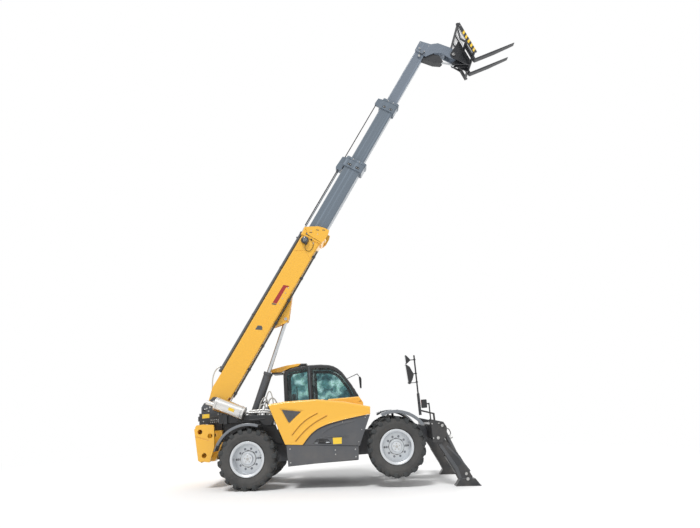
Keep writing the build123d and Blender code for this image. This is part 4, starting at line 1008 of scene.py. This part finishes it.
# %% Wear pads and their bolts in the collars' pockets
sides = (-1, 1)
collars = (("boom_base", 4.550, 0.210, 0.205, 0.280), ("boom_section_2", 6.720, 0.270, 0.173, 0.262),
           ("boom_section_3", 8.630, 0.300, 0.140, 0.215))
for body, front, length, half, rise in collars:
    middle = front - length + 0.075
    corners = [(side, low) for side in sides for low in (-rise * 0.62, rise * 0.22)]
    for side, low in corners:
        add_block((middle - 0.027, middle + 0.027), (side * (half - 0.0075), side * (half - 0.0015)),
                  (low + 0.003, low + rise * 0.4 - 0.003))
    show("wear_pads_" + body, plastic, boom, body)
    for side, low in corners:
        side_bolts([(middle, low + rise * share) for share in (0.1, 0.3)], side * (half - 0.002), 0.0085)
    for side in sides:
        side_bolts([(front - 0.030, rise * share) for share in (-0.325, 0.325)], side * (half + 0.008), 0.011)
        add_bolt((front - 0.03, side * half * 0.55, rise + 0.008), (0, 0, 1), 0.011)
    show("collar_bolts_" + body, zinc, boom, body)

# %% Pins: boom foot, lift cylinder, tilt and head
foot_pin = boom.inverted() @ boom_pivot
for side in sides:
    add_pin_end((foot_pin.x, side * 0.262, foot_pin.z), sideways * side, 0.062)
show("boom_foot_pin", zinc, boom)
for side in sides:
    add_pin_end((2.380, side * 0.104, -0.420), sideways * side, 0.036)
    side_bolts([(2.62, -0.130), (2.76, -0.127), (2.90, -0.124), (3.04, -0.121)], side * 0.183, 0.009)
show("lift_pin", zinc, boom, "boom_base")
for side in sides:
    add_pin_end((-0.2, side * 0.108, 1.0), sideways * side, 0.038)
show("lift_base_pin", zinc)
for side in sides:
    add_pin_end((10.220, side * 0.121, -0.030), sideways * side, 0.033)
    add_pin_end((10.430, side * 0.121, 0.060), sideways * side, 0.024)
    side_bolts([(10.37, 0.115), (10.60, 0.125), (10.62, -0.12)], side * 0.115, 0.009)
show("head_pins", zinc, boom, "boom_section_4")

# %% Tray with its pipes and clamps, close under the base section
tray_lines = [[(s, y, -0.272) for s in (0.180, 0.220, 4.120, 4.160)] for y in (-0.160, -0.146, -0.132)]
pipes("tray_pipes", tray_lines, 0.011, tray_pipe, boom, "boom_base")
add_block((0.300, 4.160), (-0.174, -0.122), (-0.300, -0.292))
add_block((0.300, 4.160), (-0.1225, -0.117), (-0.296, -0.250))
for step in range(7):
    s = 0.36 + step * 0.60
    add_block((s, s + 0.055), (-0.181, -0.112), (-0.308, -0.246))
tray = show("tray_channel", black_paint, boom, "boom_base", bevel=0.003)
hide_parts("pipe_tray")

# %% Bands and mounts of the extension cylinder, with the hose round its tail
for s in (0.630, 2.10, 3.40, 4.400):
    add_ring((s, 0.03, 0.325), (s + 0.045, 0.03, 0.325), 0.039, 0.0445)
for s in (0.720, 4.270):
    add_block((s - 0.020, s + 0.020), (0.010, 0.050), (0.360, 0.382))
show("extension_bands", dark_paint, boom, "boom_base", bevel=0.003)
hose("tail_hose", [(0.720, 0.03, 0.380), (0.680, 0.02, 0.420), (0.560, 0.00, 0.430), (0.400, -0.02, 0.380),
                   (0.220, -0.04, 0.260), (0.080, -0.05, 0.190), (0.040, -0.05, 0.130),
                   (0.040, -0.05, 0.090)], 0.028, pale_wrap, boom, "boom_base")
for s, h in ((0.10, 0.165), (0.02, 0.120), (-0.05, 0.100)):
    add_rod((s, -0.06, h - 0.05), (s, -0.06, h + 0.035), 0.018, 6)
    add_rod((s, -0.02, h - 0.05), (s, -0.02, h + 0.030), 0.013, 12)
show("tail_fittings", zinc, boom, "boom_base")

# %% Mouth plates that carry the boom's lower pads forward, with their slots
mouth = [(4.380, -0.285), (4.400, 0.120), (4.520, 0.235), (4.560, 0.235), (4.700, 0.000), (4.735, -0.160),
         (4.735, -0.290), (4.640, -0.318), (4.480, -0.318)]
for hand, side in (("right", -1), ("left", 1)):
    add_plate(mouth, (side * 0.2135, side * 0.2225))
    show("mouth_plate_" + hand, yellow, boom, "boom_base", bevel=0.002)
    for s, h in ((4.455, 0.105), (4.585, -0.005), (4.655, -0.140)):
        add_plate([(s, h), (s + 0.020, h + 0.004), (s + 0.045, h - 0.062), (s + 0.025, h - 0.066)],
                  (side * 0.2222, side * 0.2232))
    show("mouth_slots_" + hand, iron, boom, "boom_base", bevel=0)

# %% [markdown]
# ## Work lamp on the boom and lamps at both ends
# A round lamp sits near the mouth of the base section, with its cable in a loop. The nose carries a square
# lamp with a red marker behind, and the tail a red and amber lamp and two round ones.

# %% Boom lamp: drum, glass, ribs and cable
lamp_s, lamp_h = 4.245, 0.105
add_rod((lamp_s, -0.178, lamp_h), (lamp_s, -0.262, lamp_h), 0.086, 40, 0.080)
add_rod((lamp_s, -0.262, lamp_h), (lamp_s, -0.276, lamp_h), 0.080, 40, 0.060)
show("boom_lamp_drum", lamp_blue, boom, "boom_base", bevel=0.004)
add_rod((lamp_s, -0.274, lamp_h), (lamp_s, -0.279, lamp_h), 0.052, 32)
show("boom_lamp_glass", lens, boom, "boom_base", bevel=0.003)
for a in around(12):
    s, h = 4.225 + 0.066 * math.cos(a), 0.115 + 0.066 * math.sin(a)
    add_rod((s, -0.190, h), (s, -0.228, h), 0.006, 8)
add_block((4.16, 4.29), (-0.189, -0.182), (0.02, 0.10))
add_rod((4.33, -0.183, -0.02), (4.33, -0.215, -0.02), 0.020)
add_rod((4.28, -0.183, -0.10), (4.28, -0.205, -0.10), 0.014)
show("boom_lamp_ribs", plastic, boom, "boom_base")
hose("boom_lamp_cable", [(4.190, -0.215, 0.055), (4.150, -0.225, 0.035), (4.060, -0.215, 0.010),
                         (4.030, -0.200, -0.060), (4.060, -0.200, -0.130), (4.150, -0.200, -0.150),
                         (4.230, -0.198, -0.130), (4.278, -0.204, -0.104)],
     0.012, hose_rubber, boom, "boom_base")

# %% Front and tail lamps
tail_face = (-1.1775, -1.174)
add_block((3.718, 3.7235), (-0.992, -0.908), (1.312, 1.458))
show("front_lamp_glass", lens, bevel=0.002)
add_block((3.6055, 3.611), (-0.985, -0.935), (1.375, 1.455))
add_block(tail_face, (-0.392, -0.335), (1.408, 1.492))
for y in (-0.50, 0.50):
    add_rod((-1.150, y, 1.20), (-1.166, y, 1.20), 0.038, 24)
show("tail_lamp_red", red_lens, bevel=0.002)
add_block(tail_face, (-0.328, -0.268), (1.408, 1.492))
show("tail_lamp_amber", amber_lens, bevel=0.002)

# %% [markdown]
# ## Mirrors
# The dark housings hold glass on the side that faces the driver. The mast's mirrors look back along the right
# side, and the small one on the cab looks along the left.

# %% Mirror glass and clamps
mast_x, mast_y = 3.560, -1.0
for low, high in (((-0.1996, 2.228), (-0.2036, 2.380)), ((-0.1884, 1.838), (-0.2116, 2.185))):
    add_plate([(mast_x + low[0] - 0.003, low[1]), (mast_x + high[0] - 0.003, high[1]),
               (mast_x + high[0] + 0.001, high[1]), (mast_x + low[0] + 0.001, low[1])], (-1.138, -0.972))
add_plate([(2.3975, 1.895), (2.3875, 2.135), (2.3915, 2.135), (2.4015, 1.895)], (1.072, 1.168))
show("mirror_glass", mirror_face)
clamps = ((0.024, 0.026, 20, (2.285, 1.997, 1.822)), (0.05, 0.023, 20, (1.30, 1.46)),
          (0.435, 0.029, 24, (1.165,)))
for height, radius, count, lows in clamps:
    for z in lows:
        add_rod((mast_x, mast_y, z), (mast_x, mast_y, z + height), radius, count)
show("mirror_clamps", black_paint)

# %% [markdown]
# ## Hoses at the lift cylinder and behind the cab
# Several hoses rise in loops between the chassis rails at the foot of the lift cylinder, some with pale
# wrapping. They stay on the chassis from end to end, so that no hose is torn when the boom moves. Two bright
# pipes run across the deck in front of the muffler.

# %% Hose loops and deck pipes
loops = [
    ("lift_hose_a", 0.030, pale_wrap, [
        (0.040, -0.235, 0.990), (0.045, -0.235, 1.120), (0.080, -0.225, 1.450), (0.200, -0.215, 1.800),
        (0.300, -0.215, 1.790), (0.325, -0.225, 1.500), (0.318, -0.240, 1.150), (0.318, -0.240, 0.980)]),
    ("lift_hose_b", 0.026, hose_rubber, [
        (0.110, -0.265, 0.990), (0.115, -0.265, 1.150), (0.160, -0.255, 1.500), (0.235, -0.245, 1.730),
        (0.300, -0.245, 1.690), (0.380, -0.255, 1.450), (0.400, -0.265, 1.150), (0.400, -0.265, 0.980)]),
    ("lift_hose_c", 0.026, pale_wrap, [
        (0.180, -0.282, 0.990), (0.190, -0.282, 1.150), (0.250, -0.275, 1.600), (0.330, -0.265, 1.920),
        (0.405, -0.265, 1.920), (0.455, -0.275, 1.600), (0.470, -0.282, 1.150), (0.470, -0.282, 0.975)])]
for label, y, x, far, top, finish in (("d", -0.222, 0.215, 0.535, 1.62, hose_rubber),
                                      ("e", -0.246, 0.255, 0.600, 1.78, pale_wrap),
                                      ("f", -0.270, 0.075, 0.360, 1.66, pale_wrap)):
    points = [(x, y, 0.988), (x + 0.004, y, 1.130), (x + 0.030, y, 1.420), (x + 0.090, y, top),
              (far - 0.100, y, top - 0.02), (far - 0.030, y, 1.400), (far, y, 1.120), (far, y, 0.975)]
    loops.append(("lift_hose_" + label, 0.032, finish, points))
for name, diameter, finish, points in loops:
    hose(name, points, diameter, finish)
pipes("deck_pipes", [[(-0.150, -0.56, 1.440), (-0.130, -0.575, 1.480), (-0.060, -0.58, 1.495),
                      (0.300, -0.58, 1.480), (0.420, -0.57, 1.460), (0.440, -0.56, 1.410)],
                     [(-0.060, -0.46, 1.440), (-0.050, -0.46, 1.510), (0.000, -0.46, 1.535),
                      (0.330, -0.46, 1.520), (0.420, -0.46, 1.500), (0.440, -0.46, 1.410)]], 0.044, zinc)

# %% [markdown]
# ## Deck and tail
# Black sheet closes the gap between the boom tower and the hood, and a plate stands in front of the rear
# wheel. The black box beside the boom tower holds the control valves. Its side shows rows of caps, ports and
# fittings.

# %% Black deck
add_plate([(-0.690, 1.310), (-0.690, 1.500), (-0.300, 1.500), (-0.150, 1.455), (0.440, 1.412), (0.495, 1.385),
           (0.425, 1.195), (0.255, 1.215), (0.185, 1.310)], (-0.585, -0.300))
add_plate([(0.180, 1.215), (0.425, 1.235), (0.500, 1.190), (0.560, 1.040), (0.650, 0.830), (0.560, 0.800),
           (0.330, 0.960)], (-0.450, -0.430))
add_block((0.320, 0.360), (-0.440, -0.200), (0.960, 1.000))
add_block((-0.568, -0.492), (-0.648, -0.300), (1.298, 1.560))
add_plate([(-0.900, 1.090), (-0.900, 1.330), (-0.690, 1.330), (-0.690, 1.480), (-0.600, 1.480),
           (-0.600, 1.330), (0.300, 1.330), (0.300, 1.090)], (-0.330, -0.305))
add_block((-0.800, -0.660), (-0.392, -0.310), (1.180, 1.500))
add_block((-0.300, 0.300), (-0.595, -0.580), (1.335, 1.350))
show("deck", black_paint, bevel=0.006)

# %% Valve caps, ports and tower bolts
for row, z in enumerate((1.360, 1.405)):
    for k in range(5):
        x = -0.900 + k * 0.040 + row * 0.010
        add_rod((x, -0.399, z), (x, -0.416, z), 0.013, 6)
        add_rod((x, -0.416, z), (x, -0.424, z), 0.008, 12)
side_bolts([(-1.06, 1.39), (-1.06, 1.52), (-0.74, 1.39), (-0.74, 1.52)], -0.400, 0.009)
for side in sides:
    side_bolts([(-1.03, 1.66), (-0.96, 1.68), (-0.99, 1.60)], side * 0.235, 0.014)
show("valve_caps", zinc)
add_block((-0.915, -0.700), (-0.407, -0.399), (1.340, 1.430))
add_block((-0.905, -0.720), (-0.412, -0.399), (1.455, 1.490))
show("valve_plate", iron, bevel=0.002)

# %% [markdown]
# ## Muffler
# The muffler is wrapped in bright dented heat shield, closed by two bands. It carries a small blank plate.

# %% Heat shield, bands and plate
shield_radius = 0.142
rear_end, front_end = Vector((-0.735, -0.655, 1.745)), Vector((-0.130, -0.655, 1.485))
run = (front_end - rear_end).normalized()
add_rod(rear_end, front_end, shield_radius, 72)
add_rod(rear_end - run * 0.012, rear_end, 0.120, 72, shield_radius)
add_rod(front_end, front_end + run * 0.012, shield_radius, 72, 0.120)
show("muffler_shield", heat_shield, bevel=0.004)
for distance in (0.050, 0.600):
    centre = rear_end + run * distance
    lock = centre - sideways * 0.1445
    add_rod(centre - run * 0.010, centre + run * 0.010, 0.1445, 72)
    add_rod(lock - run * 0.03, lock + run * 0.03, 0.007, 10)
seam = Vector((0, -0.120, -0.078))
add_rod(rear_end + seam + run * 0.02, front_end + seam - run * 0.02, 0.006, 8)
show("muffler_bands", zinc)
add_plate([(-0.420, 1.640), (-0.300, 1.588), (-0.320, 1.528), (-0.440, 1.580)], (-0.8020, -0.790))
show("muffler_plate", label_yellow, bevel=0.0008)

# %% [markdown]
# ## Fork carriage
# The uprights of the load guard are striped yellow and black. The stripes are thin slanted plates on both
# faces of each upright. Bolts and pins show on the carriage, a black guard hangs under the head round the
# tilt cylinder, and two hoses feed the cylinder.

# %% Hazard stripes
for side in sides:
    for k in range(5):
        v = 0.045 + k * 0.142
        add_plate([(-0.104, v), (-0.021, v + 0.055), (-0.021, v + 0.126), (-0.104, v + 0.071)],
                  (side * 0.6005 - skin, side * 0.6005 + skin))
        add_block((-0.0205, -0.019), (side * 0.572, side * 0.598), (v + 0.055, v + 0.126))
show("hazard_stripes", label_yellow, carriage, "carriage", bevel=0)

# %% Carriage bolts, fork locks and pins
tilt_pin = carriage.inverted() @ boom @ Vector(tilt_pivot)
for side in sides:
    add_pin_end((tilt_pin.x, side * 0.165, tilt_pin.z), sideways * side, 0.040)
    for v in (0.055, 0.465):
        add_bolt((-0.064, side * 0.44, v), (1, 0, 0), 0.011)
    side_bolts([(-0.060, 0.10), (-0.060, 0.90)], side * 0.601, 0.010)
show("carriage_pins", zinc, carriage, "carriage")
for y in (-0.3, 0.3):
    for v in (0.48, 0.52):
        add_block((-0.072, -0.016), (y - 0.067, y + 0.067), (v, v + 0.012))
    add_rod((-0.045, y - 0.085, 0.455), (-0.045, y + 0.085, 0.455), 0.010)
for k in range(7):
    add_block((-0.094, -0.080), (-0.555, 0.555), (0.560 + k * 0.055, 0.568 + k * 0.055))
show("load_guard", black_paint, carriage, "carriage", bevel=0.002)

# %% Guard under the head, round the tilt cylinder
for side in sides:
    add_plate([(10.205, -0.130), (10.238, -0.450), (10.320, -0.640), (10.395, -0.660), (10.500, -0.500),
               (10.470, -0.330), (10.290, -0.180)], (side * 0.066, side * 0.084))
    side_bolts([(10.260, -0.300), (10.300, -0.480), (10.360, -0.600)], side * 0.084, 0.010)
add_plate([(10.200, -0.130), (10.232, -0.450), (10.314, -0.640), (10.322, -0.637), (10.240, -0.448),
           (10.208, -0.130)], (-0.084, 0.084))
show("head_guard", black_paint, boom, "boom_section_4", bevel=0.002)

# %% Hoses in the head
for side, hand in ((-1, "right"), (1, "left")):
    route = ((10.330, 0.128, 0.020), (10.300, 0.150, 0.000), (10.260, 0.165, -0.060), (10.300, 0.165, -0.120),
             (10.380, 0.150, -0.110), (10.400, 0.130, -0.080))
    hose("head_hose_" + hand, [(s, side * y, h) for s, y, h in route], 0.018, hose_rubber, boom,
         "boom_section_4")

# %% [markdown]
# ## Stabilizers
# Each leg's cylinder has a lock valve on its barrel and a hose to the frame. Pins show at both ends, and
# raised bands mark the edges of the open channel that the cylinder lies in.

# %% Stabilizer pins, bands, lock valves and hoses
barrel_start, barrel_end = Vector((3.960, 0, 0.930)), Vector((4.330, 0, -0.020))
barrel_run = (barrel_end - barrel_start).normalized()
across_barrel = Vector((0.932, 0, 0.363))
leg_bands = [
    [(3.850, 0.560), (4.118, 0.090), (4.190, -0.135), (4.240, -0.135), (4.185, 0.105), (3.905, 0.590)],
    [(4.030, 0.540), (4.242, 0.305), (4.425, 0.030), (4.405, 0.010), (4.215, 0.285), (4.000, 0.520)],
    [(4.200, -0.100), (4.420, -0.100), (4.420, -0.118), (4.200, -0.118)]]
for side, hand in ((-1, "right"), (1, "left")):
    for x, z, radius in ((3.850, 0.700, 0.030), (3.960, 0.930, 0.027)):
        add_pin_end((x, side * 1.142, z), sideways * side, radius)
    side_bolts([(3.76, 0.98), (3.76, 0.70), (3.90, 0.98)], side * 1.130, 0.010)
    show("stabilizer_pins_" + hand, zinc)
    for outline in leg_bands:
        add_plate(outline, (side * 1.0945, side * 1.101))
    show("leg_bands_" + hand, dark_paint, machine, "stabilizer_leg_" + hand, bevel=0.002)
    add_pin_end((4.330, side * 1.107, -0.020), sideways * side, 0.026)
    add_pin_end((4.350, side * 1.095, -0.120), sideways * side, 0.030)
    show("foot_pins_" + hand, zinc, machine, "stabilizer_leg_" + hand)
    base = barrel_start + sideways * side
    middle = base + barrel_run * 0.30
    add_rod(middle + Vector((0.040, 0, 0.018)), middle + Vector((0.095, 0, 0.042)), 0.026, 4)
    add_rod(middle + Vector((0.070, -0.05, 0.030)), middle + Vector((0.070, 0.05, 0.030)), 0.012, 6)
    for distance in (0.12, 0.58, 0.61):
        add_rod(base + barrel_run * (distance - 0.008), base + barrel_run * (distance + 0.008), 0.056, 32)
    show("stabilizer_valve_" + hand, zinc, machine, "stabilizer_barrel_" + hand, bevel=0.002)
    route = ((0.090, 0.050), (0.095, 0.085), (0.140, 0.110), (0.200, 0.110), (0.240, 0.095), (0.250, 0.055))
    hose("stabilizer_hose_" + hand, [tuple(base + barrel_run * a + across_barrel * b) for a, b in route],
         0.018, hose_rubber, machine, "stabilizer_barrel_" + hand)

# %% [markdown]
# ## Under the machine and round the fenders
# Rings of bolts hold the axles' hub covers, and bolts and brackets show on the fenders' stays. The fenders
# have a rolled edge, and behind each rear wheel a flap carries the fender on.

# %% Axle bolts
axle_height = 0.595
for end, x in (("rear", 0.0), ("front", wheelbase)):
    for a in around(10):
        add_bolt((x + 0.198, 0.150 * math.sin(a), axle_height + 0.150 * math.cos(a)), (1, 0, 0), 0.011)
    for side in sides:
        for z, up in ((0.4239, -1), (0.7661, 1)):
            add_bolt((x, side * 0.62, z), (0, 0, up), 0.013)
    show("axle_bolts_" + end, zinc)

# %% Fender edges and rear flaps


def about_axle(radius, angle, y):
    return (radius * math.cos(angle), y, radius * math.sin(angle))


fender_shapes = {"rear": (0.672, 0.012, 69, 152), "front": (0.690, 0.024, 34, 112)}
stations = 32
for name, place in wheel_place.items():
    inner, thick, first, last = fender_shapes[name.split("_")[0]]
    rings = []
    for k in range(stations + 1):
        a = math.radians(first + (last - first) * k / stations)
        rings.append([form.verts.new(about_axle(inner - 0.006 + (thick / 2 + 0.020) * math.sin(b), a,
                                                0.199 + 0.007 * math.cos(b))) for b in around(8)])
    form.faces.new(rings[0])
    for previous, ring in zip(rings, rings[1:]):
        join(previous, ring)
    form.faces.new(rings[-1][::-1])
    if name.startswith("rear"):
        arc = [math.radians(last - 4 + 3 * k) for k in range(6)]
        flap = [about_axle(inner + 0.010, a, 0) for a in arc]
        flap += [about_axle(inner - 0.002, a, 0) for a in reversed(arc)]
        add_plate([(point[0], point[2]) for point in flap], (-0.150, 0.205))
    for k in range(4):
        a = math.radians(first + (last - first) * (k + 0.5) / 4)
        for y in (-0.10, 0.10):
            add_bolt(about_axle(inner + thick, a, y), about_axle(1, a, 0), 0.008)
    show("fender_edge_" + name, fender_plastic, place, "knuckle_" + name, bevel=0)
